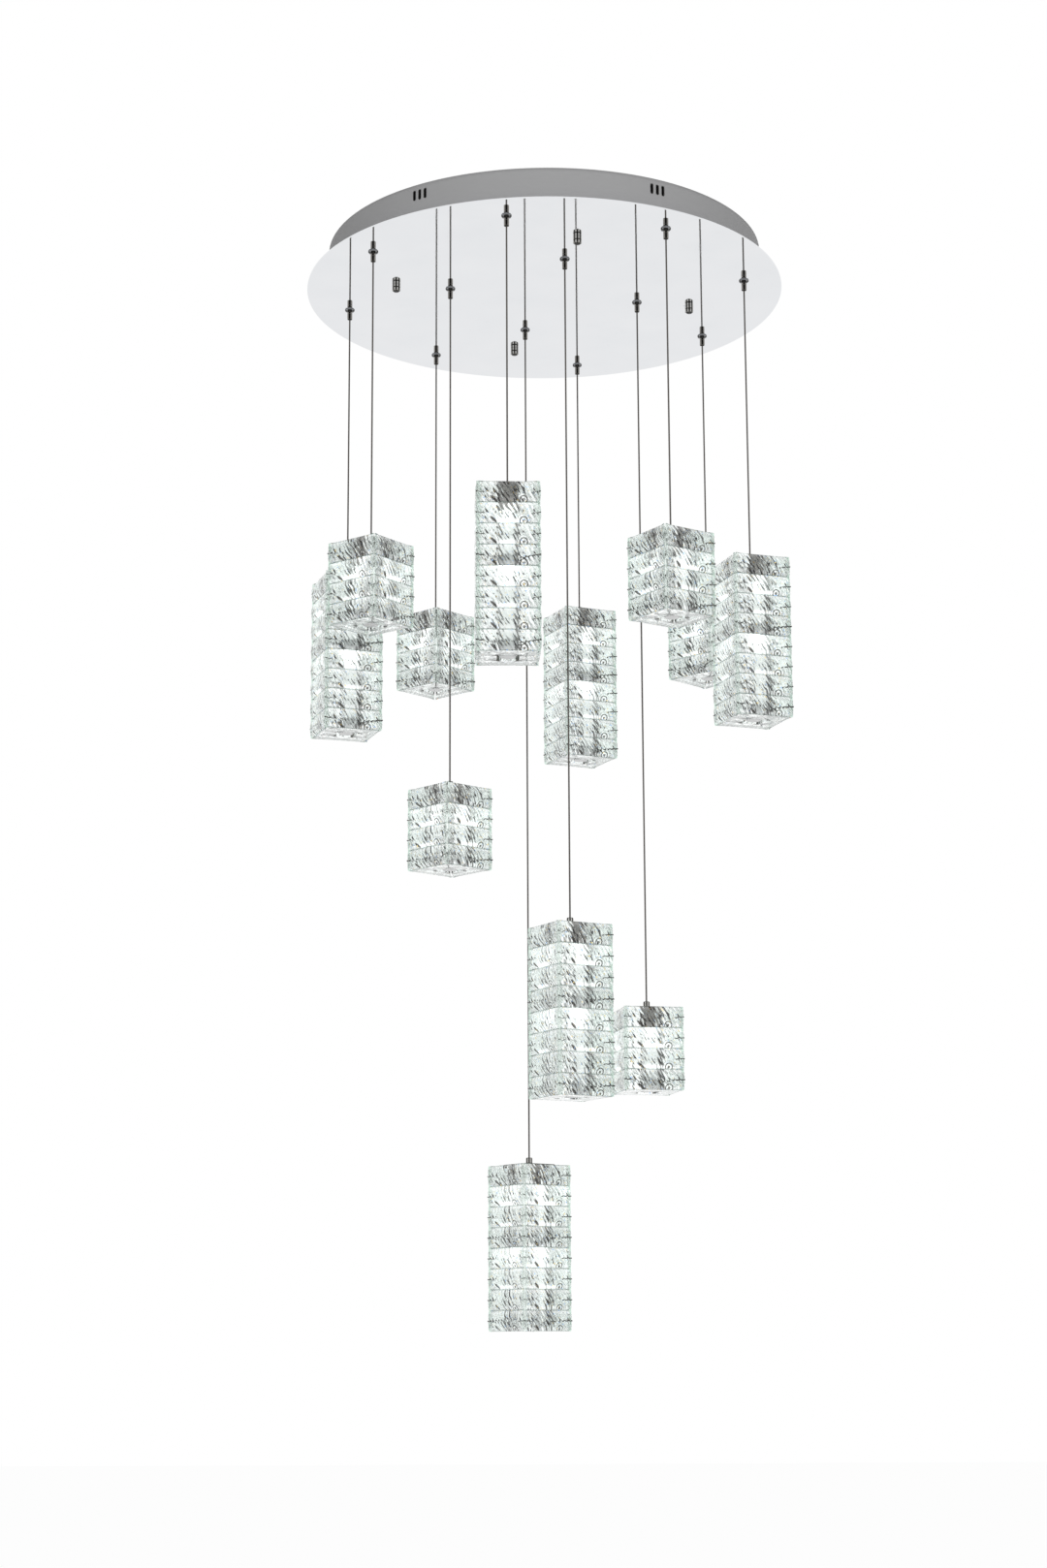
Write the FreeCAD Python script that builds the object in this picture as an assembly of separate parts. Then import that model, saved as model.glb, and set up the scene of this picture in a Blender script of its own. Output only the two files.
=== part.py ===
"""Cluster pendant light: a round canopy from which twelve shades of stacked glass bars hang on cords.

Millimetres, +Z up. The origin is the canopy's centre on the ceiling plane and everything hangs below it.
Each shade is a square stack of glass rings, four mitred bars to a ring, round a metal core with light rods.
"""

import FreeCAD, Part
import math
import os
from dataclasses import dataclass

from FreeCAD import Vector

# Canopy plate and drum
CANOPY_DEPTH = 50.0  # ceiling to the plate's underside
PLATE_RADIUS = 300.0
PLATE_THICKNESS = 2.0
PLATE_OVERHANG = 27.0  # the plate stands this far outside the drum
DRUM_WALL = 1.2

# Vent slots in the drum's wall
VENT_WIDTH = 3.5
VENT_LENGTH = 12.0
VENT_PITCH = 7.7
VENTS_PER_GROUP = 3
VENT_CENTRE_DROP = 13.0  # below the ceiling
VENT_GROUP_ANGLES = (-123.3, -60.8, 60.8, 123.3)

# Ceiling spider: a hub with four arms that carries the canopy
SPIDER_THICKNESS = 3.0
SPIDER_HUB_RADIUS = 80.0
SPIDER_HUB_SIDES = 8
SPIDER_ARM_WIDTH = 26.0
SPIDER_ARM_END_BEVEL = 6.0
SPIDER_TURN = 11.7
SPIDER_ARMS = 4
CABLE_HOLE_RADIUS = 11.0
CEILING_SCREW_HOLE_RADIUS = 2.75
CEILING_SCREW_CIRCLE_RADIUS = 150.0

# Hanger studs and the thumb nuts that hold the plate up
STUD_CIRCLE_RADIUS = 190.0
STUD_RADIUS = 2.5
STUD_COLLAR_RADIUS = 5.0
STUD_COLLAR_HEIGHT = 1.5
STUD_FIT = 0.05
STUD_SIDES = 8
STUD_ENTRY = 6.0  # length of stud inside its nut
NUT_WALL = 2.2
NUT_HEIGHT = 9.0
NUT_DOME_HEIGHT = 1.6
NUT_DOME_INSET = 2.1
NUT_BORE_SPARE = 0.5
NUT_SIDES = 8
PLATE_HOLE_CLEARANCE = 0.3
PLATE_SLOT_SHIFT = 5.0  # a slot runs this far inward from the first stud's hole
PLATE_SLOT_HALF_WIDTH = 1.2

# Driver and terminal block under the hub
DRIVER_LENGTH = 120.0
DRIVER_WIDTH = 36.0
DRIVER_HEIGHT = 26.0
DRIVER_GAP = 5.0  # beside the cable hole
DRIVER_EDGE_BEVEL = 2.0
DRIVER_TAB_LENGTH = 9.0
DRIVER_TAB_THICKNESS = 2.0
BLOCK_LENGTH = 60.0
BLOCK_WIDTH = 18.0
BLOCK_HEIGHT = 15.0
BLOCK_GAP = 8.0  # beside the cable hole
BLOCK_WAYS = 6
BLOCK_GROOVE_WIDTH = 1.6
BLOCK_GROOVE_DEPTH = 3.0

# Cord grips: a flanged bush in the plate, its hex lock nut above and its clamping barrel below
GRIP_FLANGE_RADIUS = 7.0
GRIP_FLANGE_THICKNESS = 1.2
GRIP_TUBE_RADIUS = 3.0
GRIP_TUBE_STANDOUT = 7.0  # above the plate
GRIP_TUBE_FIT = 0.1
BARREL_RADIUS = 3.1
BARREL_LENGTH = 12.0
BARREL_END_BEVEL = 0.9
GRIP_SIDES = 8
LOCKNUT_ACROSS_FLATS = 11.0
LOCKNUT_HEIGHT = 3.0
LOCKNUT_SIDES = 6

# Cords
CORD_RADIUS = 1.0
CORD_SIDES = 6

# Glass bars
SHADE_SIDE = 75.0
RING_HEIGHT = 25.0
BAR_DEPTH = 25.0
BAR_BEVEL_DEPTH = 2.2
BAR_BEVEL_HEIGHT = 4.2
MITRE_GAP = 1.2
BARS_PER_RING = 4
RINGS_PER_MODULE = 4

# Metal core and light rods
FERRULE_RADIUS = 4.25
FERRULE_LENGTH = 8.5
CAP_OVERLAP = 10.5  # the cap reaches this far over each bar
CAP_THICKNESS = 1.5
CORE_SIDES = 8
HOUSING_GAP = 1.5  # beside the bars' inner faces
HOUSING_BELOW_RING = 3.0  # the top housing reaches this far below the first ring
LIGHT_ROD_INSET = 1.0  # the rods are this much slimmer than the housings, all round
ARM_FIT = 0.05  # each side of an arm in its mitre joint
ARM_HEIGHT = 1.6
ARM_INSET = 1.0  # an arm ends this far inside the shade's sharp corner
ARM_BELOW_COLLAR = 6.0  # the collar's top stands this far above its arms
LAST_COLLAR_LIFT = 3.0  # the lowest collar ends this far above the glass's lower face
CORE_ARMS = 4

# Hanging pattern
OUTER_INSET = 19.0  # the outer cords stand this far inside the drum's outer face
OUTER_START_ANGLE = -10.5
INNER_CIRCLE_RADIUS = 121.0
INNER_START_ANGLE = 11.6
MODULES_PER_SHORT_SHADE = 1
MODULES_PER_TALL_SHADE = 2

# Each shade's drop from the plate to its glass, and the angle of one of its corners
OUTER_1_DROP = 367.0
OUTER_1_CORNER_ANGLE = -26.0
OUTER_2_DROP = 367.5
OUTER_2_CORNER_ANGLE = 1.8
OUTER_3_DROP = 351.0
OUTER_3_CORNER_ANGLE = -21.0
OUTER_4_DROP = 364.5
OUTER_4_CORNER_ANGLE = 2.9
OUTER_5_DROP = 360.0
OUTER_5_CORNER_ANGLE = -26.5
OUTER_6_DROP = 372.0
OUTER_6_CORNER_ANGLE = 7.6
OUTER_7_DROP = 339.0
OUTER_7_CORNER_ANGLE = -43.0
OUTER_8_DROP = 382.0
OUTER_8_CORNER_ANGLE = -10.6
INNER_1_DROP = 908.5
INNER_1_CORNER_ANGLE = -33.6
INNER_2_DROP = 1089.0
INNER_2_CORNER_ANGLE = -7.5
INNER_3_DROP = 645.0
INNER_3_CORNER_ANGLE = -2.4
INNER_4_DROP = 828.0
INNER_4_CORNER_ANGLE = -16.3

OVERRUN = 1.0  # every cutting shape runs this far past what it cuts
FULL_TURN = 360.0
QUARTER_TURN = 90.0


@dataclass(frozen=True)
class Pendant:
    """One hanging shade: its modules of rings, the drop from plate to glass, and the angle of a corner."""

    modules: int
    drop: float
    corner: float


OUTER_PENDANTS = (
    Pendant(MODULES_PER_TALL_SHADE, OUTER_1_DROP, OUTER_1_CORNER_ANGLE),
    Pendant(MODULES_PER_SHORT_SHADE, OUTER_2_DROP, OUTER_2_CORNER_ANGLE),
    Pendant(MODULES_PER_TALL_SHADE, OUTER_3_DROP, OUTER_3_CORNER_ANGLE),
    Pendant(MODULES_PER_SHORT_SHADE, OUTER_4_DROP, OUTER_4_CORNER_ANGLE),
    Pendant(MODULES_PER_TALL_SHADE, OUTER_5_DROP, OUTER_5_CORNER_ANGLE),
    Pendant(MODULES_PER_SHORT_SHADE, OUTER_6_DROP, OUTER_6_CORNER_ANGLE),
    Pendant(MODULES_PER_TALL_SHADE, OUTER_7_DROP, OUTER_7_CORNER_ANGLE),
    Pendant(MODULES_PER_SHORT_SHADE, OUTER_8_DROP, OUTER_8_CORNER_ANGLE),
)
INNER_PENDANTS = (
    Pendant(MODULES_PER_SHORT_SHADE, INNER_1_DROP, INNER_1_CORNER_ANGLE),
    Pendant(MODULES_PER_TALL_SHADE, INNER_2_DROP, INNER_2_CORNER_ANGLE),
    Pendant(MODULES_PER_SHORT_SHADE, INNER_3_DROP, INNER_3_CORNER_ANGLE),
    Pendant(MODULES_PER_TALL_SHADE, INNER_4_DROP, INNER_4_CORNER_ANGLE),
)

# Sizes that follow from those above
DRUM_RADIUS = PLATE_RADIUS - PLATE_OVERHANG
OUTER_CIRCLE_RADIUS = DRUM_RADIUS - OUTER_INSET
NUT_BORE_RADIUS = STUD_RADIUS + STUD_FIT
NUT_RADIUS = NUT_BORE_RADIUS + NUT_WALL
PLATE_BOTTOM = -CANOPY_DEPTH
PLATE_TOP = PLATE_BOTTOM + PLATE_THICKNESS
BARREL_TOP = PLATE_BOTTOM - GRIP_FLANGE_THICKNESS
GRIP_MOUTH = BARREL_TOP - BARREL_LENGTH
SHADE_HALF = SHADE_SIDE / 2
HOLLOW_HALF = SHADE_HALF - BAR_DEPTH
HOUSING_HALF = HOLLOW_HALF - HOUSING_GAP
ARM_REACH = SHADE_HALF * math.sqrt(2) - ARM_INSET
ARM_WIDTH = MITRE_GAP - 2 * ARM_FIT
MODULE_HEIGHT = RINGS_PER_MODULE * RING_HEIGHT
ARM_DROP = MODULE_HEIGHT - RING_HEIGHT / 2  # from a module's top to its arms
COLLAR_TOP_DROP = ARM_DROP - ARM_BELOW_COLLAR


def polar(radius, angle, height=0):
    """A point at that radius, angle in degrees and height."""
    turn = math.radians(angle)
    return Vector(radius * math.cos(turn), radius * math.sin(turn), height)


def placed(shape, at=Vector(0, 0, 0), turn=0):
    """A copy of the shape turned about Z and then moved."""
    copy = shape.copy()
    copy.Placement = FreeCAD.Placement(at, FreeCAD.Rotation(Vector(0, 0, 1), turn)).multiply(copy.Placement)
    return copy


def around(count, start=0):
    """The angles of a full circle shared evenly, from a first angle."""
    return [start + FULL_TURN * k / count for k in range(count)]


def cylinder(radius, low, high):
    """An upright cylinder on the Z axis between two heights."""
    return Part.makeCylinder(radius, high - low, Vector(0, 0, low))


def slab(length, width, low, high, centre=(0, 0)):
    """A box between two heights, centred on a point of the XY plane."""
    x, y = centre
    return Part.makeBox(length, width, high - low, Vector(x - length / 2, y - width / 2, low))


def polygon(points):
    """A flat face through points in order."""
    return Part.Face(Part.makePolygon(points + points[:1]))


def faceted(outline, sides):
    """A turned shape with flat sides, one of them towards +X.

    The outline runs down from the first (radius, height) to the last, each radius measured to the middle of
    a flat side. Flat ends close it. Small pieces that the lamp repeats many times have this form.
    """
    half_step = FULL_TURN / sides / 2
    stretch = 1 / math.cos(math.radians(half_step))
    angles = around(sides, half_step)
    rings = [[polar(radius * stretch, angle, height) for angle in angles] for radius, height in outline]
    faces = [polygon(rings[0]), polygon(rings[-1])]
    for upper, lower in zip(rings, rings[1:]):
        faces += [polygon([upper[k - 1], upper[k], lower[k], lower[k - 1]]) for k in range(sides)]
    solid = Part.makeSolid(Part.makeShell(faces))
    if solid.Volume < 0:
        solid.reverse()
    return solid


def prism(sides, radius, low, high):
    """An upright regular prism between two heights, its radius measured to the middle of a flat side."""
    return faceted([(radius, high), (radius, low)], sides)


def fused(shapes):
    """One solid from overlapping or touching shapes, without the seams between them."""
    return shapes[0].fuse(shapes[1:]).removeSplitter()


def canopy_plate():
    """The mirror plate: a disc with a hole for each grip and each stud, and a slot at the first stud."""
    low = PLATE_BOTTOM - OVERRUN
    high = PLATE_TOP + OVERRUN
    grip_hole = prism(GRIP_SIDES, GRIP_TUBE_RADIUS + GRIP_TUBE_FIT, low, high)
    stud_hole_radius = STUD_RADIUS + PLATE_HOLE_CLEARANCE
    stud_hole = prism(STUD_SIDES, stud_hole_radius, low, high)
    holes = [placed(grip_hole, at) for at in cord_places()]
    holes += [placed(stud_hole, at) for at in stud_places()]
    slot_end = stud_hole_radius + PLATE_SLOT_SHIFT
    slot = slab(slot_end, 2 * PLATE_SLOT_HALF_WIDTH, low, high, centre=(-slot_end / 2, 0))
    holes.append(placed(slot, stud_places()[0], SPIDER_TURN))
    return cylinder(PLATE_RADIUS, PLATE_BOTTOM, PLATE_TOP).cut(holes)


def canopy_drum():
    """The drum that stands on the plate against the ceiling: a sheet wall with groups of vent slots."""
    inner = DRUM_RADIUS - DRUM_WALL
    depth = DRUM_WALL + 2 * OVERRUN
    half_length = VENT_LENGTH / 2
    centre = (inner - OVERRUN + depth / 2, 0)
    slot = slab(depth, VENT_WIDTH, -VENT_CENTRE_DROP - half_length, half_length - VENT_CENTRE_DROP, centre)
    step = math.degrees(VENT_PITCH / DRUM_RADIUS)
    middle = (VENTS_PER_GROUP - 1) / 2
    slots = [
        placed(slot, turn=group + step * (k - middle))
        for group in VENT_GROUP_ANGLES
        for k in range(VENTS_PER_GROUP)
    ]
    bore = cylinder(inner, PLATE_TOP - OVERRUN, OVERRUN)
    return cylinder(DRUM_RADIUS, PLATE_TOP, 0).cut([bore] + slots)


def stud_places():
    """Where the hanger studs stand, the first one first."""
    return [polar(STUD_CIRCLE_RADIUS, angle) for angle in around(SPIDER_ARMS, SPIDER_TURN)]


def ceiling_spider():
    """The steel spider screwed flat to the ceiling: a hub, four arms with bevelled ends, and its holes."""
    low = -SPIDER_THICKNESS
    half_width = SPIDER_ARM_WIDTH / 2
    reach = STUD_CIRCLE_RADIUS + half_width
    shoulder = reach - SPIDER_ARM_END_BEVEL
    outline = [
        (0, -half_width),
        (shoulder, -half_width),
        (reach, SPIDER_ARM_END_BEVEL - half_width),
        (reach, half_width - SPIDER_ARM_END_BEVEL),
        (shoulder, half_width),
        (0, half_width),
    ]
    arm = polygon([Vector(x, y, low) for x, y in outline]).extrude(Vector(0, 0, SPIDER_THICKNESS))
    angles = around(SPIDER_ARMS, SPIDER_TURN)
    hub = placed(prism(SPIDER_HUB_SIDES, SPIDER_HUB_RADIUS, low, 0), turn=SPIDER_TURN)
    body = fused([hub] + [placed(arm, turn=angle) for angle in angles])
    below = low - OVERRUN
    screw_hole = cylinder(CEILING_SCREW_HOLE_RADIUS, below, OVERRUN)
    holes = [placed(screw_hole, polar(CEILING_SCREW_CIRCLE_RADIUS, angle)) for angle in angles]
    holes.append(cylinder(CABLE_HOLE_RADIUS, below, OVERRUN))
    return body.cut(holes)


def hanger_stud():
    """A stud welded under the spider by its collar, that reaches down into its thumb nut."""
    top = -SPIDER_THICKNESS
    collar_bottom = top - STUD_COLLAR_HEIGHT
    outline = [
        (STUD_COLLAR_RADIUS, top),
        (STUD_COLLAR_RADIUS, collar_bottom),
        (STUD_RADIUS, collar_bottom),
        (STUD_RADIUS, PLATE_BOTTOM - STUD_ENTRY),
    ]
    return faceted(outline, STUD_SIDES)


def thumb_nut():
    """A nut under the plate with a drawn-in end and a blind bore for its stud."""
    end = PLATE_BOTTOM - NUT_HEIGHT
    outline = [
        (NUT_RADIUS, PLATE_BOTTOM),
        (NUT_RADIUS, end + NUT_DOME_HEIGHT),
        (NUT_RADIUS - NUT_DOME_INSET, end),
    ]
    bore_end = PLATE_BOTTOM - STUD_ENTRY - NUT_BORE_SPARE
    bore = prism(STUD_SIDES, NUT_BORE_RADIUS, bore_end, PLATE_BOTTOM + OVERRUN)
    return faceted(outline, NUT_SIDES).cut(bore)


def led_driver():
    """The driver under the hub: a bevelled case with a flat tab at each end."""
    top = -SPIDER_THICKNESS
    centre = (0, -CABLE_HOLE_RADIUS - DRIVER_GAP - DRIVER_WIDTH / 2)
    case = slab(DRIVER_LENGTH - 2 * DRIVER_TAB_LENGTH, DRIVER_WIDTH, top - DRIVER_HEIGHT, top, centre)
    long_edges = [
        edge
        for edge in case.Edges
        if edge.BoundBox.ZMax < top and edge.BoundBox.XLength > DRIVER_WIDTH
    ]
    case = case.makeChamfer(DRIVER_EDGE_BEVEL, long_edges)
    tabs = slab(DRIVER_LENGTH, DRIVER_WIDTH, top - DRIVER_TAB_THICKNESS, top, centre)
    return placed(fused([case, tabs]), turn=SPIDER_TURN)


def terminal_block():
    """The mains terminal block under the hub, with grooves between its ways."""
    top = -SPIDER_THICKNESS
    bottom = top - BLOCK_HEIGHT
    offset = CABLE_HOLE_RADIUS + BLOCK_GAP + BLOCK_WIDTH / 2
    block = slab(BLOCK_LENGTH, BLOCK_WIDTH, bottom, top, (0, offset))
    way = BLOCK_LENGTH / BLOCK_WAYS
    first = -BLOCK_LENGTH / 2
    width = BLOCK_WIDTH + 2 * OVERRUN
    groove_top = bottom + BLOCK_GROOVE_DEPTH
    grooves = [
        slab(BLOCK_GROOVE_WIDTH, width, bottom - OVERRUN, groove_top, (first + way * k, offset))
        for k in range(1, BLOCK_WAYS)
    ]
    return placed(block.cut(grooves), turn=SPIDER_TURN)


def grip_bush():
    """A cord grip's bush: a tube up through the plate and a flange under it."""
    outline = [
        (GRIP_TUBE_RADIUS, PLATE_TOP + GRIP_TUBE_STANDOUT),
        (GRIP_TUBE_RADIUS, PLATE_BOTTOM),
        (GRIP_FLANGE_RADIUS, PLATE_BOTTOM),
        (GRIP_FLANGE_RADIUS, BARREL_TOP),
    ]
    return faceted(outline, GRIP_SIDES)


def grip_barrel():
    """A cord grip's clamping barrel, with a bevelled end where the cord leaves."""
    outline = [
        (BARREL_RADIUS, BARREL_TOP),
        (BARREL_RADIUS, GRIP_MOUTH + BARREL_END_BEVEL),
        (BARREL_RADIUS - BARREL_END_BEVEL, GRIP_MOUTH),
    ]
    return faceted(outline, GRIP_SIDES)


def grip_locknut():
    """The hex nut that holds a bush from above the plate."""
    top = PLATE_TOP + LOCKNUT_HEIGHT
    hexagon = prism(LOCKNUT_SIDES, LOCKNUT_ACROSS_FLATS / 2, PLATE_TOP, top)
    bore = prism(GRIP_SIDES, GRIP_TUBE_RADIUS + GRIP_TUBE_FIT, PLATE_TOP - OVERRUN, top + OVERRUN)
    return hexagon.cut(bore)


def glass_bar():
    """One bar of a ring, its top at height zero: bevelled outer edges, and a mitre at each end."""
    outer = SHADE_HALF - BAR_BEVEL_DEPTH
    outline = [
        (HOLLOW_HALF, 0),
        (outer, 0),
        (SHADE_HALF, -BAR_BEVEL_HEIGHT),
        (SHADE_HALF, BAR_BEVEL_HEIGHT - RING_HEIGHT),
        (outer, -RING_HEIGHT),
        (HOLLOW_HALF, -RING_HEIGHT),
    ]
    section = polygon([Vector(x, -SHADE_HALF, height) for x, height in outline])
    blank = section.extrude(Vector(0, SHADE_SIDE, 0))
    apex = MITRE_GAP / math.sqrt(2)
    reach = SHADE_HALF + OVERRUN
    low = -RING_HEIGHT - OVERRUN
    spread = reach - apex
    triangle = polygon([Vector(apex, 0, low), Vector(reach, -spread, low), Vector(reach, spread, low)])
    return blank.common(triangle.extrude(Vector(0, 0, RING_HEIGHT + 2 * OVERRUN)))


def glass_stack(modules):
    """The bars of a whole shade, ring under ring."""
    bar = glass_bar()
    return [
        placed(bar, Vector(0, 0, -RING_HEIGHT * ring), angle)
        for ring in range(modules * RINGS_PER_MODULE)
        for angle in around(BARS_PER_RING)
    ]


def core_head():
    """The top of a core: the cord's ferrule, the cap on the glass and the first light housing."""
    cap_side = 2 * (HOLLOW_HALF + CAP_OVERLAP)
    cap = slab(cap_side, cap_side, 0, CAP_THICKNESS)
    ferrule = prism(CORE_SIDES, FERRULE_RADIUS, 0, CAP_THICKNESS + FERRULE_LENGTH)
    housing = prism(CORE_SIDES, HOUSING_HALF, -RING_HEIGHT - HOUSING_BELOW_RING, 0)
    return fused([cap, ferrule, housing])


def core_collar(module, modules):
    """The collar at the foot of a module, with four thin arms that lie in the glass's mitre joints."""
    module_top = -MODULE_HEIGHT * module
    top = module_top - COLLAR_TOP_DROP
    module_bottom = module_top - MODULE_HEIGHT
    is_last = module == modules - 1
    bottom = module_bottom + LAST_COLLAR_LIFT if is_last else module_bottom
    arm_low = module_top - ARM_DROP - ARM_HEIGHT / 2
    arm = slab(ARM_REACH, ARM_WIDTH, arm_low, arm_low + ARM_HEIGHT, (ARM_REACH / 2, 0))
    shapes = [prism(CORE_SIDES, HOUSING_HALF, bottom, top)]
    shapes += [placed(arm, turn=angle) for angle in around(CORE_ARMS, QUARTER_TURN / 2)]
    return fused(shapes)


def pendant_core(modules):
    """The metal pieces of a shade's core, from the ferrule to the lowest collar."""
    return [core_head()] + [core_collar(module, modules) for module in range(modules)]


def light_rods(modules):
    """The frosted rods that stand between the core's metal pieces, one to a module."""
    rods = []
    for module in range(modules):
        module_top = -MODULE_HEIGHT * module
        top = module_top if module else -RING_HEIGHT - HOUSING_BELOW_RING
        rods.append(prism(CORE_SIDES, HOUSING_HALF - LIGHT_ROD_INSET, module_top - COLLAR_TOP_DROP, top))
    return rods


def cord_places():
    """Where the cords leave the plate: the outer circle, then the inner one."""
    outer = [polar(OUTER_CIRCLE_RADIUS, angle) for angle in around(len(OUTER_PENDANTS), OUTER_START_ANGLE)]
    inner = [polar(INNER_CIRCLE_RADIUS, angle) for angle in around(len(INNER_PENDANTS), INNER_START_ANGLE)]
    return outer + inner


def pendant_names():
    """The pendants' names, in the order of their places."""
    outer = [f"outer_{k + 1}" for k in range(len(OUTER_PENDANTS))]
    inner = [f"inner_{k + 1}" for k in range(len(INNER_PENDANTS))]
    return outer + inner


def write(node, shapes):
    """Writes one node's solids, checked, to its own STEP file."""
    shape = shapes[0] if len(shapes) == 1 else Part.makeCompound(shapes)
    if not shape.isValid():
        raise ValueError(f"{node} is not a valid shape")
    os.makedirs("parts", exist_ok=True)
    shape.exportStep(f"parts/{node}.step")
    print(f"{node}: {len(shape.Solids)} solids, {shape.Volume:.0f} mm3")


def write_canopy():
    """Writes the canopy's own pieces and what is fixed to it."""
    cords = cord_places()
    studs = stud_places()
    write("canopy_plate", [canopy_plate()])
    write("canopy_drum", [canopy_drum()])
    write("ceiling_spider", [ceiling_spider()])
    write("led_driver", [led_driver()])
    write("terminal_block", [terminal_block()])
    write("hanger_studs", [placed(hanger_stud(), at) for at in studs])
    write("thumb_nuts", [placed(thumb_nut(), at) for at in studs])
    write("grip_bushes", [placed(grip_bush(), at) for at in cords])
    write("grip_barrels", [placed(grip_barrel(), at) for at in cords])
    write("grip_locknuts", [placed(grip_locknut(), at) for at in cords])


def write_pendant(name, pendant, place):
    """Writes one pendant's cord, core, light rods and glass."""
    glass_top = PLATE_BOTTOM - pendant.drop
    at = place + Vector(0, 0, glass_top)
    cord_end = glass_top + CAP_THICKNESS + FERRULE_LENGTH
    turn = pendant.corner - QUARTER_TURN / 2
    write(f"cord_{name}", [placed(prism(CORD_SIDES, CORD_RADIUS, cord_end, GRIP_MOUTH), place)])
    groups = {
        "core": pendant_core(pendant.modules),
        "light_rods": light_rods(pendant.modules),
        "glass": glass_stack(pendant.modules),
    }
    for kind, shapes in groups.items():
        write(f"{kind}_{name}", [placed(shape, at, turn) for shape in shapes])
    print(f"cord_{name}: straight, {GRIP_MOUTH - cord_end:.1f} mm long")


def main():
    """Writes every node."""
    write_canopy()
    pendants = OUTER_PENDANTS + INNER_PENDANTS
    for name, pendant, place in zip(pendant_names(), pendants, cord_places()):
        write_pendant(name, pendant, place)


main()
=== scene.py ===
"""Cluster pendant light: the dressed model of a round canopy with twelve shades of cast glass bars.

Each sub-assembly is a class: the canopy, a cord grip, a glass bar and a hanging pendant. A piece is a Surface, worked
out as whole arrays from a profile or a plan outline, and then made a mesh. Sizes are millimetres until a Surface
becomes a mesh, and angles are degrees. Heights run up from the ceiling plane, as in the frame.
"""

import logging
import math
from dataclasses import dataclass, replace
from enum import Enum

import bpy
import numpy as np
from mathutils import Matrix, Vector


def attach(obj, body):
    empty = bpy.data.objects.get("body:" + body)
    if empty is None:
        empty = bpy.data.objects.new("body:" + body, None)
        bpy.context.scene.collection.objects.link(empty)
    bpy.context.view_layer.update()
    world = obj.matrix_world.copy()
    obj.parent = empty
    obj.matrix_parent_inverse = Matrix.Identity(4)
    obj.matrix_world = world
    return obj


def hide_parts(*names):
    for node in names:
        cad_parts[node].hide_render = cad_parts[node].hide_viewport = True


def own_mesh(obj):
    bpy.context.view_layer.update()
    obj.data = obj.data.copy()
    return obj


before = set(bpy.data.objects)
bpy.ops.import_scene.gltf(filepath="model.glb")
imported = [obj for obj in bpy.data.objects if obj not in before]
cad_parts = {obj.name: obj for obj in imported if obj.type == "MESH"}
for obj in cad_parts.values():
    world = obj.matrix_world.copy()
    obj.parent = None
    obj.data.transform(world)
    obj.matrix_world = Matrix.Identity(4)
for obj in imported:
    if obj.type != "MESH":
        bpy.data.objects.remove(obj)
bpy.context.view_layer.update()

log = logging.getLogger("pendant_light")

MM = 0.001
UP = np.array([0.0, 0.0, 1.0])
WHITE = (1.0, 1.0, 1.0, 1.0)
SHARP = math.radians(50)  # steeper edges of the meshes stay sharp
IMAGE_HEIGHT = 1618
SENSOR = 36.0
SEED = 12


# ---- Surfaces -------------------------------------------------------------------------------------------------


@dataclass(frozen=True)
class Surface:
    """A mesh in the making, in millimetres.

    Its quads are smooth and its triangles flat. Each point keeps three things for the materials: a share from 0 to
    1, which the finishes paint as shade or, on the light rods, as glow; how much it is lit from inside, which the
    glass gives off as painted light; and its place in its own mould or on its own lathe, which stays when the
    surface is moved. The light is below zero next to a dark housing, where it is painted shade.
    """

    points: np.ndarray
    quads: np.ndarray
    triangles: np.ndarray
    share: np.ndarray
    lit: np.ndarray
    mould: np.ndarray

    def moved(self, offset: tuple[float, float, float], turn: float = 0.0) -> "Surface":
        """This surface turned about Z and then moved.

        Args:
            offset: how far it moves.
            turn: in degrees, anticlockwise seen from above.

        Returns:
            The moved surface.
        """
        angle = math.radians(turn)
        spin = np.array([[math.cos(angle), math.sin(angle), 0], [-math.sin(angle), math.cos(angle), 0], [0, 0, 1]])
        return replace(self, points=self.points @ spin + np.asarray(offset, float))

    @property
    def spread(self) -> np.ndarray:
        """Each point's distance from the Z axis."""
        return np.hypot(self.points[:, 0], self.points[:, 1])

    def drawn_in(self, part: np.ndarray, share: np.ndarray) -> "Surface":
        """This surface with a new share, and each point moved towards the Z axis by a part of its distance."""
        scale = np.column_stack([1 - part, 1 - part, np.ones(len(part))])
        return replace(self, points=self.points * scale, share=share)


def joined(surfaces: list[Surface]) -> Surface:
    """One surface of many, their points one after another.

    Args:
        surfaces: the surfaces to join.

    Returns:
        A surface that holds them all.
    """
    starts = np.cumsum([0] + [len(s.points) for s in surfaces])
    return Surface(
        np.concatenate([s.points for s in surfaces]),
        np.concatenate([s.quads + start for s, start in zip(surfaces, starts)]),
        np.concatenate([s.triangles + start for s, start in zip(surfaces, starts)]),
        np.concatenate([s.share for s in surfaces]),
        np.concatenate([s.lit for s in surfaces]),
        np.concatenate([s.mould for s in surfaces]),
    )


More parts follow.
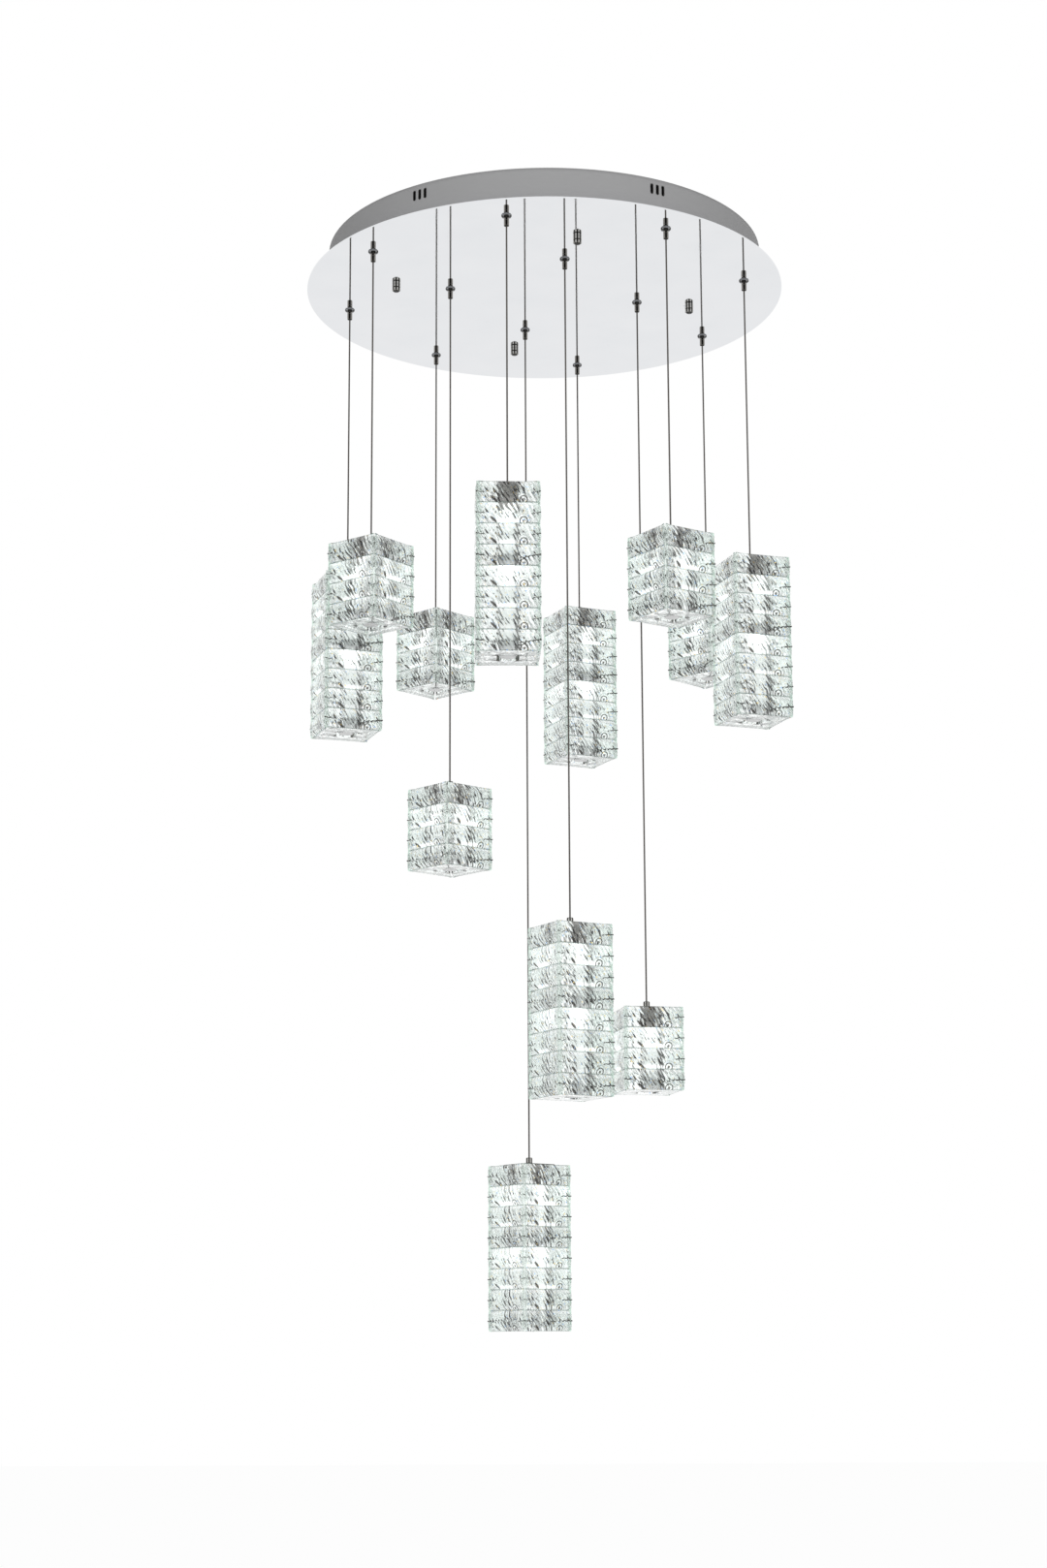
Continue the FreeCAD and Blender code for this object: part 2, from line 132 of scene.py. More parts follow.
def loft(rings: np.ndarray, share: np.ndarray | None = None) -> Surface:
    """A closed shape through rings of points.

    Neighbouring rings are joined point to point by quads, S(i, j) with i down the shape and j round it. The first
    and the last ring are closed by a fan of triangles about their middle.

    Args:
        rings: an array of rings by points by 3. The rings run down and each runs anticlockwise seen from above.
        share: a number from 0 to 1 for each ring, or for each ring and each point in it.

    Returns:
        The closed surface, its faces outward.
    """
    count, size = rings.shape[:2]
    ring, place = np.meshgrid(np.arange(count - 1), np.arange(size), indexing="ij")
    after = (place + 1) % size
    upper, lower = ring * size, (ring + 1) * size
    quads = np.stack([upper + place, lower + place, lower + after, upper + after], axis=-1).reshape(-1, 4)
    points = np.concatenate([rings.reshape(-1, 3), rings[:1].mean(axis=1), rings[-1:].mean(axis=1)])
    first, low = count * size, (count - 1) * size
    step = np.arange(size)
    following = (step + 1) % size
    top = np.stack([np.full(size, first), step, following], axis=-1)
    bottom = np.stack([np.full(size, first + 1), low + following, low + step], axis=-1)
    values = np.zeros((count, 1)) if share is None else np.asarray(share, float).reshape(count, -1)
    spread = np.broadcast_to(values, (count, size))
    share = np.append(spread.ravel(), [spread[0].mean(), spread[-1].mean()])
    return Surface(points, quads, np.concatenate([top, bottom]), share, np.zeros(len(points)), points)


def rounded(corners: list[tuple[float, float, float]], steps: int = 4) -> np.ndarray:
    """An open outline with its corners rounded.

    A corner with a radius r becomes an arc that touches both of its runs: the arc starts r / tan(half the corner's
    angle) before the corner and its points are a circular sweep between the two touching points.

    Args:
        corners: points of the outline as (x, y, radius), where radius 0 keeps the corner.
        steps: arc segments at each rounded corner.

    Returns:
        An array of points by 2.
    """
    outline = [np.array(corners[0][:2], float)]
    for before, corner, after in zip(corners, corners[1:], corners[2:]):
        here = np.array(corner[:2], float)
        if corner[2] <= 0:
            outline.append(here)
            continue
        back = np.array(before[:2], float) - here
        ahead = np.array(after[:2], float) - here
        back /= np.linalg.norm(back)
        ahead /= np.linalg.norm(ahead)
        half = math.acos(float(np.clip(back @ ahead, -1, 1))) / 2
        middle = (back + ahead) / np.linalg.norm(back + ahead)
        centre = here + middle * corner[2] / math.sin(half)
        start = here + back * corner[2] / math.tan(half) - centre
        end = here + ahead * corner[2] / math.tan(half) - centre
        sweep = math.pi - 2 * half
        for share in np.linspace(0, 1, steps + 1):
            weight_start = math.sin((1 - share) * sweep) / math.sin(sweep)
            weight_end = math.sin(share * sweep) / math.sin(sweep)
            outline.append(centre + weight_start * start + weight_end * end)
    outline.append(np.array(corners[-1][:2], float))
    return np.array(outline)


def circle(segments: int) -> np.ndarray:
    """A level unit circle about Z, its points (cos a, sin a, 0)."""
    angle = np.linspace(0, 2 * math.pi, segments, endpoint=False)
    return np.stack([np.cos(angle), np.sin(angle), np.zeros(segments)], axis=-1)


def turned(profile: list[tuple[float, float, float]], segments: int = 40, steps: int = 4) -> Surface:
    """A shape turned about Z: each profile point (r, z) becomes the ring (r cos a, r sin a, z).

    Args:
        profile: (radius, height, corner radius) from the top down, beginning and ending near the axis.
        segments: points round each ring.
        steps: arc segments at each rounded corner.

    Returns:
        The closed surface.
    """
    outline = rounded(profile, steps)
    return loft(outline[:, None, :1] * circle(segments)[None] + outline[:, None, 1:] * UP)


def tube(path: np.ndarray, radius: float, segments: int = 12) -> Surface:
    """A closed round tube: each point of a path that runs down carries a level circle of that radius."""
    return loft(path[:, None, :] + radius * circle(segments)[None])


def fluted(surface: Surface, radius: float, count: int, depth: float) -> Surface:
    """A turned surface with flutes cut down its widest bands.

    A point at radius r and angle a moves in to r (1 - depth / radius * dip(a)), where dip is the positive part of
    0.6 + cos(count * a), capped at 1, and fades out 0.7 mm inside the full radius, where the necks are. The share
    is the dip, and 1 in the necks: the fluted finishes paint it dark, as shade and dark reflections.

    Args:
        surface: the turned surface, about Z.
        radius: of the bands that get the flutes.
        count: of the flutes.
        depth: of the flutes.

    Returns:
        The fluted surface.
    """
    angle = np.arctan2(surface.points[:, 1], surface.points[:, 0])
    wide = np.clip((surface.spread - radius + 0.7) / 0.5, 0, 1)
    dip = np.clip(0.6 + np.cos(count * angle), 0, 1) * wide
    return surface.drawn_in(depth / radius * dip, np.maximum(dip, 1 - wide))


def upright(outline: np.ndarray, levels: list[tuple[float, float]]) -> Surface:
    """An upright shape with the given plan, drawn in by an inset at each of its levels.

    The plan's point p with outward normal n gives p - inset * n at each level, so rounded upper and lower edges
    are levels whose insets follow a quarter circle.

    Args:
        outline: the plan, points by 2, closed and anticlockwise.
        levels: (height, inset) from the top down.

    Returns:
        The closed surface.
    """
    normals = plan_normals(outline)
    rings = [np.column_stack([outline - inset * normals, np.full(len(outline), height)]) for height, inset in levels]
    return loft(np.stack(rings))


def plan_normals(outline: np.ndarray) -> np.ndarray:
    """The outward normal of each point of a plan: the chord past it, turned clockwise.

    Args:
        outline: points by 2, closed and anticlockwise.

    Returns:
        Unit normals, points by 2.
    """
    chord = np.roll(outline, -1, axis=0) - np.roll(outline, 1, axis=0)
    chord /= np.linalg.norm(chord, axis=1, keepdims=True)
    return np.column_stack([chord[:, 1], -chord[:, 0]])


def edge_levels(top: float, bottom: float, radius: float, steps: int = 3) -> list[tuple[float, float]]:
    """Levels of an upright shape with both ends rounded: height = end -+ r (1 - cos a), inset = r (1 - sin a).

    Args:
        top: height of the upper end.
        bottom: height of the lower end.
        radius: of both edges.
        steps: arc segments at each edge.

    Returns:
        (height, inset) from the top down.
    """
    angles = [math.pi / 2 * k / steps for k in range(steps + 1)]
    upper = [(top - radius * (1 - math.cos(a)), radius * (1 - math.sin(a))) for a in angles]
    lower = [(bottom + radius * (1 - math.cos(a)), radius * (1 - math.sin(a))) for a in reversed(angles)]
    return upper + lower


def square_plan(half: float, corner: float, steps: int = 4) -> np.ndarray:
    """A square's plan with rounded corners: four quarter circles.

    Args:
        half: of its side.
        corner: radius of its corners.
        steps: arc segments at each corner.

    Returns:
        Points by 2, anticlockwise.
    """
    angle = np.linspace(0, math.pi / 2, steps + 1)
    arc = corner * np.column_stack([np.cos(angle), np.sin(angle)]) + (half - corner)
    quarter = np.array([[0.0, 1.0], [-1.0, 0.0]])
    return np.concatenate([arc @ np.linalg.matrix_power(quarter, k) for k in range(4)])


def circle_places(radius: float, start: float, count: int) -> list[tuple[float, float]]:
    """Places shared evenly round a circle, (radius cos a, radius sin a), from a first angle in degrees."""
    angles = [math.radians(start + 360 * k / count) for k in range(count)]
    return [(radius * math.cos(a), radius * math.sin(a)) for a in angles]


# ---- Materials ------------------------------------------------------------------------------------------------

Source = bpy.types.Node | bpy.types.NodeSocket  # what feeds an input: a socket, or a node by its first output


def linear(code: str) -> tuple[float, ...]:
    """A linear colour with alpha 1 from an sRGB hex code such as #9d9d9e."""
    parts = [int(code[k : k + 2], 16) / 255 for k in (1, 3, 5)]
    return (*[c / 12.92 if c <= 0.04045 else ((c + 0.055) / 1.055) ** 2.4 for c in parts], 1.0)


def add(tree: bpy.types.NodeTree, kind: str, links: dict | None = None, **settings: object) -> bpy.types.Node:
    """Adds a node with its settings and links.

    Args:
        tree: the node tree.
        kind: the node's type name without its leading ShaderNode.
        links: input name or number to a value, or to the source that feeds it.
        settings: properties of the node.

    Returns:
        The node.
    """
    node = tree.nodes.new(f"ShaderNode{kind}")
    for name, value in settings.items():
        setattr(node, name, value)
    for key, value in (links or {}).items():
        source = value.outputs[0] if isinstance(value, bpy.types.Node) else value
        if isinstance(source, bpy.types.NodeSocket):
            tree.links.new(source, node.inputs[key])
        else:
            node.inputs[key].default_value = source
    return node


class Coordinates(Enum):
    """What a finish's pattern is laid out on."""

    OBJECT = "Object"
    MOULD = "mould"

    def socket(self, tree: bpy.types.NodeTree) -> bpy.types.NodeSocket:
        """Adds the node of these coordinates.

        Args:
            tree: the node tree.

        Returns:
            Its output, in metres.
        """
        if self is Coordinates.OBJECT:
            return add(tree, "TexCoord").outputs[self.value]
        return add(tree, "Attribute", attribute_name=self.value).outputs["Vector"]


@dataclass(frozen=True)
class Finish:
    """A surface finish: its name, colours and gloss, and the size and relief of its fine pattern in millimetres.

    The roughness swings to either side over the bounds of the pattern's noise.
    """

    name: str
    colour: str
    second: str
    metallic: float = 0.0
    roughness: float = 0.4
    ior: float = 1.5
    coat: float = 0.0
    grain: tuple[float, float, float] = (2.0, 2.0, 2.0)
    relief: float = 0.01
    roughness_swing: float = 0.05
    swing_bounds: tuple[float, float] = (0.3, 0.7)
    coordinates: Coordinates = Coordinates.OBJECT
    transmission: float = 0.0
    glow: float = 0.0

    def build(self) -> bpy.types.Material:
        """Makes the material: a grain varies the colour and the roughness a little and gives a low relief.

        Returns:
            The material.
        """
        material = bpy.data.materials.new(self.name)
        material.use_nodes = True
        tree = material.node_tree
        shader = tree.nodes["Principled BSDF"]
        shader.inputs["Metallic"].default_value = self.metallic
        if self.metallic < 1:
            shader.inputs["IOR"].default_value = self.ior
        shader.inputs["Coat Weight"].default_value = self.coat
        shader.inputs["Transmission Weight"].default_value = self.transmission
        scale = tuple(1000 / size for size in self.grain)
        mapping = add(tree, "Mapping", {"Vector": self.coordinates.socket(tree), "Scale": scale})
        grain = add(tree, "TexNoise", {"Vector": mapping, "Scale": 1.0, "Detail": 3.0})
        colour = add(tree, "Mix", {0: grain, 6: linear(self.colour), 7: linear(self.second)}, data_type="RGBA")
        tree.links.new(colour.outputs[2], shader.inputs["Base Color"])
        low, high = max(self.roughness - self.roughness_swing, 0.0), self.roughness + self.roughness_swing
        start, end = self.swing_bounds
        rough = add(tree, "MapRange", {0: grain, 1: start, 2: end, 3: low, 4: high})
        tree.links.new(rough.outputs[0], shader.inputs["Roughness"])
        bump = add(tree, "Bump", {"Height": grain, "Strength": 1.0, "Distance": self.relief * MM})
        tree.links.new(bump.outputs[0], shader.inputs["Normal"])
        self.dress(tree, shader, bump)
        return material

    def dress(self, tree: bpy.types.NodeTree, shader: bpy.types.Node, bump: bpy.types.Node) -> None:
        """Adds what only one kind of finish has. A plain finish adds nothing."""


@dataclass(frozen=True)
class CastGlass(Finish):
    """Clear glass poured in a ribbed mould: slanting ribs, ripples and folds of the pour, and dark flecks, which are
    painted refraction: the dark of things seen bent through the ribs.

    Its pattern lies on the mould's own coordinates, so each bar has the same one, as castings do. The sparks alone
    differ from bar to bar. The ribs and the flecks are on the bar's outer face only, and its mitres and inner face
    are ground flat. Bounds are (where a thing starts, where it is full), and it falls where the first is larger.
    """

    rib_slope: float = 60.0
    ribs_drawn: tuple[tuple[float, ...], ...] = ((5.2, 0.7, 3.0), (1.9, 0.02, 4.0))  # pitch, relief, wander
    drift_cell: float = 2.4
    mottle: float = 4.6
    mottle_relief: float = 0.08
    flat_share: float = 0.08
    outer_bounds: tuple[float, float] = (31.0, 34.0)
    face_bounds: tuple[float, float] = (9.0, 7.0)
    joint_bounds: tuple[float, float] = (11.2, 12.1)
    end_bounds: tuple[float, float] = (30.5, 34.5)
    face_colour: str = "#f4fbf8"
    painted_stroke_colour: str = "#141414"
    fleck_size: tuple[float, float] = (1.3, 6.0)
    fleck_cell: float = 1.6
    fleck_depth: float = 10.0
    fleck_bounds: tuple[float, float] = (0.55, 0.6)
    patch_size: float = 6.5
    patch_bounds: tuple[float, float] = (0.45, 0.56)
    patch_least: float = 0.05
    fold_colour: str = "#211f1c"
    hook_place: tuple[float, float] = (-17.0, -8.5)
    hook_size: tuple[float, float] = (6.0, 1.8)
    hook_slope: float = 38.0
    hook_bounds: tuple[float, float] = (1.05, 0.7)
    whorl_place: tuple[float, float] = (17.5, -10.0)
    whorl_pitch: float = 3.4
    whorl_line: tuple[float, float] = (0.2, 0.6)
    whorl_bounds: tuple[float, float] = (8.5, 6.5)
    spark_size: float = 2.4
    spark_bounds: tuple[float, float] = (0.74, 0.77)
    spark_colours: tuple[tuple[float, str], ...] = ((0.3, "#ffcf6b"), (5.7, "#7fb2ff"))
    # painted shade at the arrises, where the mitres meet the hollow
    arris_shade_colour: str = "#232320"
    joint_colour: str = "#98a5a0"
    end_colour: str = "#d2dfd8"
    # painted light that the glass gives off: more on its bevels, and an even amount everywhere
    bevel_glow: float = 0.06
    painted_even_glow: float = 0.04

    def dress(self, tree: bpy.types.NodeTree, shader: bpy.types.Node, bump: bpy.types.Node) -> None:
        """Lays the ribs and ripples under the fine grain, tints the face, the painted dark strokes, folds, the painted
        shade of the arrises and the ends, and gives the glass its painted glow.

        Args:
            tree: the node tree.
            shader: the material's shader.
            bump: the relief of the fine grain.
        """
        place = self.coordinates.socket(tree)
        across, along, up = add(tree, "SeparateXYZ", {0: place}).outputs
        level = add(tree, "Math", {0: up}, operation="ABSOLUTE")
        away = add(tree, "Math", {0: along}, operation="ABSOLUTE")
        outer, face, joint, ends = [
            add(tree, "MapRange", {0: value, 1: start * MM, 2: full * MM})
            for value, (start, full) in (
                (across, self.outer_bounds), (level, self.face_bounds), (level, self.joint_bounds),
                (away, self.end_bounds),
            )
        ]
        tree.links.new(self.ribs(tree, place, outer).outputs[0], bump.inputs["Normal"])
        lit = add(tree, "Attribute", attribute_name="lit").outputs["Fac"]
        # The bars' share is the painted shade at their arrises.
        arrises = add(tree, "Attribute", attribute_name="share").outputs["Fac"]
        outside = [
            (face, self.face_colour), (joint, self.joint_colour),
            (self.flecks(tree, place, face, lit), self.painted_stroke_colour),
            (self.hook(tree, place), self.fold_colour), (self.whorl(tree, place), self.fold_colour),
        ]
        outside += [(self.sparks(tree, slice_at), tint) for slice_at, tint in self.spark_colours]
        tints = [(add(tree, "Math", {0: fac, 1: outer}, operation="MULTIPLY"), tint) for fac, tint in outside]
        colour = shader.inputs["Base Color"].links[0].from_socket
        for fac, tint in tints + [(arrises, self.arris_shade_colour), (ends, self.end_colour)]:
            colour = add(tree, "Mix", {0: fac, 6: colour, 7: linear(tint)}, data_type="RGBA").outputs[2]
        tree.links.new(colour, shader.inputs["Base Color"])
        # The glass gives off painted light: the lamps' glow and bands, an even painted glow, and more on the bevels.
        glow = add(tree, "Math", {0: lit, 1: 0.0}, operation="MAXIMUM")
        inner_light = add(tree, "Math", {0: glow, 1: self.glow, 2: self.painted_even_glow}, operation="MULTIPLY_ADD")
        bevel = add(tree, "Math", {0: outer, 1: face}, operation="SUBTRACT", use_clamp=True)
        strength = add(tree, "Math", {0: bevel, 1: self.bevel_glow, 2: inner_light}, operation="MULTIPLY_ADD")
        tree.links.new(colour, shader.inputs["Emission Color"])
        tree.links.new(strength.outputs[0], shader.inputs["Emission Strength"])

    def ribs(self, tree: bpy.types.NodeTree, place: Source, outer: Source) -> bpy.types.Node:
        """The relief of the slanting ribs, finer ripples and mottle, which the ground faces have only a little of.

        A rib is a sine of the way across the ribs, whose phase a noise shifts to and fro.

        Args:
            tree: the node tree.
            place: the mould's coordinates.
            outer: 1 on the bar's outer face and 0 on the others.

        Returns:
            The node of the relief.
        """
        strength = add(tree, "MapRange", {0: outer, 3: self.flat_share})
        slope = math.radians(self.rib_slope)
        run = add(tree, "VectorMath", {0: place, 1: (0.0, math.sin(slope), math.cos(slope))}, operation="DOT_PRODUCT")
        heights = []
        for pitch, relief, wander in self.ribs_drawn:
            drift = add(tree, "TexNoise", {"Vector": place, "Scale": 1000 / pitch / self.drift_cell, "Detail": 1.0})
            turn = add(tree, "Math", {0: run.outputs["Value"], 1: 2000 * math.pi / pitch}, operation="MULTIPLY")
            phase = add(tree, "Math", {0: drift, 1: 2 * wander, 2: turn}, operation="MULTIPLY_ADD")
            heights.append((add(tree, "Math", {0: phase}, operation="SINE"), relief / 2))
        heights.append((add(tree, "TexNoise", {"Vector": place, "Scale": 1000 / self.mottle}), self.mottle_relief))
        under = {}
        for height, relief in heights:
            links = {"Height": height, "Strength": strength, "Distance": relief * MM, **under}
            under = {"Normal": add(tree, "Bump", links)}
        return under["Normal"]

    def flecks(self, tree: bpy.types.NodeTree, place: Source, face: Source, lit: Source) -> bpy.types.Node:
        """Short dark strokes along the ribs, painted refraction of dark things behind the glass: the peaks of a noise
        that is stretched along them.

        They keep to patches of the face between its bevels, and next to the dark housing they are everywhere, as its
        painted shade.

        Args:
            tree: the node tree.
            place: the mould's coordinates.
            face: 1 on the face and 0 on its bevels.
            lit: how much the lamps light the glass, or below zero how much painted shade the dark housing gives it.

        Returns:
            The node of their strength.
        """
        size = (self.fleck_depth * MM, *[self.fleck_cell * side * MM for side in self.fleck_size])
        turn = (math.radians(90 - self.rib_slope), 0, 0)
        slant = add(tree, "Mapping", {"Vector": place, "Rotation": turn, "Scale": size}, vector_type="TEXTURE")
        noise = add(tree, "TexNoise", {"Vector": slant, "Scale": 1.0, "Detail": 1.5})
        stroke = add(tree, "MapRange", {0: noise, 1: self.fleck_bounds[0], 2: self.fleck_bounds[1]})
        spread = add(tree, "TexNoise", {"Vector": place, "Scale": 1000 / self.patch_size, "Detail": 1.0})
        ramp = {0: spread, 1: self.patch_bounds[0], 2: self.patch_bounds[1], 3: self.patch_least}
        kept = add(tree, "Math", {0: add(tree, "MapRange", ramp), 1: face}, operation="MULTIPLY")
        # Painted shade of the dark housing: strokes everywhere where the light is below zero.
        near = add(tree, "Math", {0: lit, 1: -1.0}, operation="MULTIPLY", use_clamp=True)
        most = add(tree, "Math", {0: kept, 1: near}, operation="MAXIMUM")
        return add(tree, "Math", {0: stroke, 1: most}, operation="MULTIPLY")

    def hook(self, tree: bpy.types.NodeTree, place: Source) -> bpy.types.Node:
        """A dark slanting fold at the left of the bar's foot, a long narrow ellipse.

        Args:
            tree: the node tree.
            place: the mould's coordinates.

        Returns:
            The node of its strength.
        """
        links = {
            "Vector": place, "Location": (0.0, *[side * MM for side in self.hook_place]),
            "Rotation": (math.radians(-self.hook_slope), 0, 0), "Scale": (1.0, *[side * MM for side in self.hook_size]),
        }
        line = add(tree, "Mapping", links, vector_type="TEXTURE")
        away = add(tree, "VectorMath", {0: line}, operation="LENGTH").outputs["Value"]
        return add(tree, "MapRange", {0: away, 1: self.hook_bounds[0], 2: self.hook_bounds[1]})

    def whorl(self, tree: bpy.types.NodeTree, place: Source) -> bpy.types.Node:
        """Dark rings about a point at the right of the bar's foot, where the pour closed: a sine of the distance.

        Args:
            tree: the node tree.
            place: the mould's coordinates.

        Returns:
            The node of their strength.
        """
        at = (0, *[-side * MM for side in self.whorl_place])
        flat = add(tree, "Mapping", {"Vector": place, "Location": at, "Scale": (0, 1, 1)})
        away = add(tree, "VectorMath", {0: flat}, operation="LENGTH").outputs["Value"]
        turn = add(tree, "Math", {0: away, 1: 2000 * math.pi / self.whorl_pitch}, operation="MULTIPLY")
        wave = add(tree, "Math", {0: turn}, operation="SINE")
        line = add(tree, "MapRange", {0: wave, 1: self.whorl_line[0], 2: self.whorl_line[1]})
        near = add(tree, "MapRange", {0: away, 1: self.whorl_bounds[0] * MM, 2: self.whorl_bounds[1] * MM})
        return add(tree, "Math", {0: line, 1: near}, operation="MULTIPLY")

    def sparks(self, tree: bpy.types.NodeTree, slice_at: float) -> bpy.types.Node:
        """Rare small spots where the glass splits the light: the highest peaks of one slice of a noise.

        Args:
            tree: the node tree.
            slice_at: the slice.

        Returns:
            The node of their strength.
        """
        place = Coordinates.OBJECT.socket(tree)
        links = {"Vector": place, "W": slice_at, "Scale": 1000 / self.spark_size, "Detail": 0.0}
        noise = add(tree, "TexNoise", links, noise_dimensions="4D")
        return add(tree, "MapRange", {0: noise, 1: self.spark_bounds[0], 2: self.spark_bounds[1]})


@dataclass(frozen=True)
class FlutedMetal(Finish):
    """Plated metal with flutes, whose valleys and necks are painted dark, as shade and dark reflections."""

    # colour of the painted shade and dark reflections in the valleys
    valley_shade: str = "#0c0b0a"

    def dress(self, tree: bpy.types.NodeTree, shader: bpy.types.Node, bump: bpy.types.Node) -> None:
        """Darkens the valleys by the piece's share: painted shade and painted dark reflection.

        Args:
            tree: the node tree.
            shader: the material's shader.
            bump: the relief of the fine grain; not used here.
        """
        share = add(tree, "Attribute", attribute_name="share").outputs["Fac"]
        colour = shader.inputs["Base Color"].links[0].from_socket
        mixed = add(tree, "Mix", {0: share, 6: colour, 7: linear(self.valley_shade)}, data_type="RGBA")
        tree.links.new(mixed.outputs[2], shader.inputs["Base Color"])


@dataclass(frozen=True)
class LitFrost(Finish):
    """Frosted acrylic with lamps at its ends: it glows most next to them and fades towards its middle."""

    glow_low: float = 0.42
    light_colour: str = "#f9fcfb"

    def dress(self, tree: bpy.types.NodeTree, shader: bpy.types.Node, bump: bpy.types.Node) -> None:
        """Feeds the glow's strength from the rod's own share, which is 1 next to its lamps.

        Args:
            tree: the node tree.
            shader: the material's shader.
            bump: the relief of the fine grain; not used here.
        """
        share = add(tree, "Attribute", attribute_name="share").outputs["Fac"]
        strength = add(tree, "MapRange", {0: share, 3: self.glow_low, 4: self.glow})
        shader.inputs["Emission Color"].default_value = linear(self.light_colour)
        tree.links.new(strength.outputs[0], shader.inputs["Emission Strength"])


MIRROR = Finish(
    # Mirror-polished stainless sheet: clear reflections, with a breath of haze from the polishing wheel.
    "mirror_polished_stainless", "#e9eaec", "#e2e4e7", metallic=1.0, roughness=0.03, roughness_swing=0.015,
    grain=(60.0, 60.0, 60.0), relief=0.02,
)
SATIN = Finish(
    # Satin silver lacquer on rolled steel: soft light falls off evenly, with a faint cross-grain of the sheet.
    "satin_silver_lacquer", "#979798", "#9e9e9f", roughness=0.6, ior=1.3, grain=(14.0, 14.0, 0.5), relief=0.006,
)
ZINC = Finish(
    # Bright zinc plate on pressed steel: grey-blue, a little cloudy.
    "bright_zinc_plate", "#9fa4a9", "#b4b7b8", metallic=1.0, roughness=0.34, grain=(9.0, 9.0, 9.0), relief=0.02,
    roughness_swing=0.1,
)
FLUTED = FlutedMetal(
    # Nickel plate over cut flutes: bright ridges, and valleys painted nearly black as shade and dark reflections.
    "fluted_nickel_plate", "#b4b2ae", "#cbcac6", metallic=1.0, roughness=0.14, grain=(4.0, 4.0, 1.0),
)
FLANGE = FlutedMetal(
    # Chrome plate, painted darker as a reflection of the barrel and cord beside it; notches painted dark as shade.
    "notched_chrome_plate", "#7e7f81", "#8b8c8e", metallic=1.0, roughness=0.05, grain=(8.0, 8.0, 0.3), relief=0.006,
)
BARREL = FlutedMetal(
    # The same flutes on a thinner barrel, its ridges painted darker as reflections of the dark things round it.
    "fluted_nickel_painted_dark", "#86837e", "#9d9a95", metallic=1.0, roughness=0.14, grain=(4.0, 4.0, 1.0),
)
CASE = Finish(
    # White ABS, moulded with a spark-eroded texture.
    "white_moulded_abs", "#e6e6e1", "#dcdcd6", roughness=0.5, grain=(0.6, 0.6, 0.6), relief=0.03,
)
BLOCK = Finish(
    # Polyamide, moulded: milky and waxy.
    "natural_moulded_nylon", "#dcd8cc", "#d0cbbd", roughness=0.45, grain=(3.0, 3.0, 3.0), relief=0.02,
)
JACKET = Finish(
    # Clear PVC over twisted tinned strands: grey-beige stripes under a gloss coat. The strands are drawn at twice
    # their real 0.4 mm, so that they show.
    "clear_jacket_on_tinned_strands", "#36332f", "#5a554f", metallic=0.3, roughness=0.35, coat=0.3,
    grain=(0.8, 0.8, 6.0), relief=0.04,
)
HOUSING = Finish(
    # Black-brown anodised aluminium, turned: dark satin.
    "dark_anodised_aluminium", "#2b2623", "#37312c", metallic=0.9, roughness=0.32, grain=(6.0, 6.0, 0.4),
)
HEAD = Finish(
    # Dark anodised aluminium, turned, painted lighter for the light from the glass round it; softer than the dark cap.
    "anodised_aluminium_painted_lit", "#6d6762", "#7c7670", metallic=0.8, roughness=0.36, grain=(6.0, 6.0, 0.4),
)
COLLAR = Finish(
    # Turned aluminium, satin, dulled to grey.
    "turned_grey_aluminium", "#d6d7d8", "#e2e3e3", metallic=0.5, grain=(6.0, 6.0, 0.4),
)
STEEL = Finish(
    # Drawn steel pins and strip, oiled: dark, with a dull shine.
    "oiled_drawn_steel", "#3d3b38", "#4b4945", metallic=1.0, roughness=0.22, grain=(3.0, 3.0, 3.0),
)
GLASS = CastGlass(
    # Clear soda-lime glass, cast and fire-polished: pale, with ribs that break up what is behind it.
    "cast_clear_glass", "#fdfefe", "#f9fcfb", roughness=0.02, roughness_swing=0.015, transmission=1.0,
    # glow: painted light that the glass gives off for the lamps inside
    grain=(1.5, 1.5, 1.5), relief=0.006, coordinates=Coordinates.MOULD, glow=0.22,
)
FROST = LitFrost(
    # Frosted acrylic round a light board: white next to the board, and grey further off.
    "frosted_acrylic_lit", "#f0f1f0", "#e2e4e3", roughness=0.55, grain=(1.2, 1.2, 1.2), relief=0.02, glow=2.4,
)


def placed_object(name: str, data: bpy.types.ID) -> bpy.types.Object:
    """A new object of the data at the origin, linked to the scene.

    Args:
        name: of the object.
        data: its mesh, lamp or camera.

    Returns:
        The object.
    """
    made = bpy.data.objects.new(name, data)
    bpy.context.scene.collection.objects.link(made)
    return made


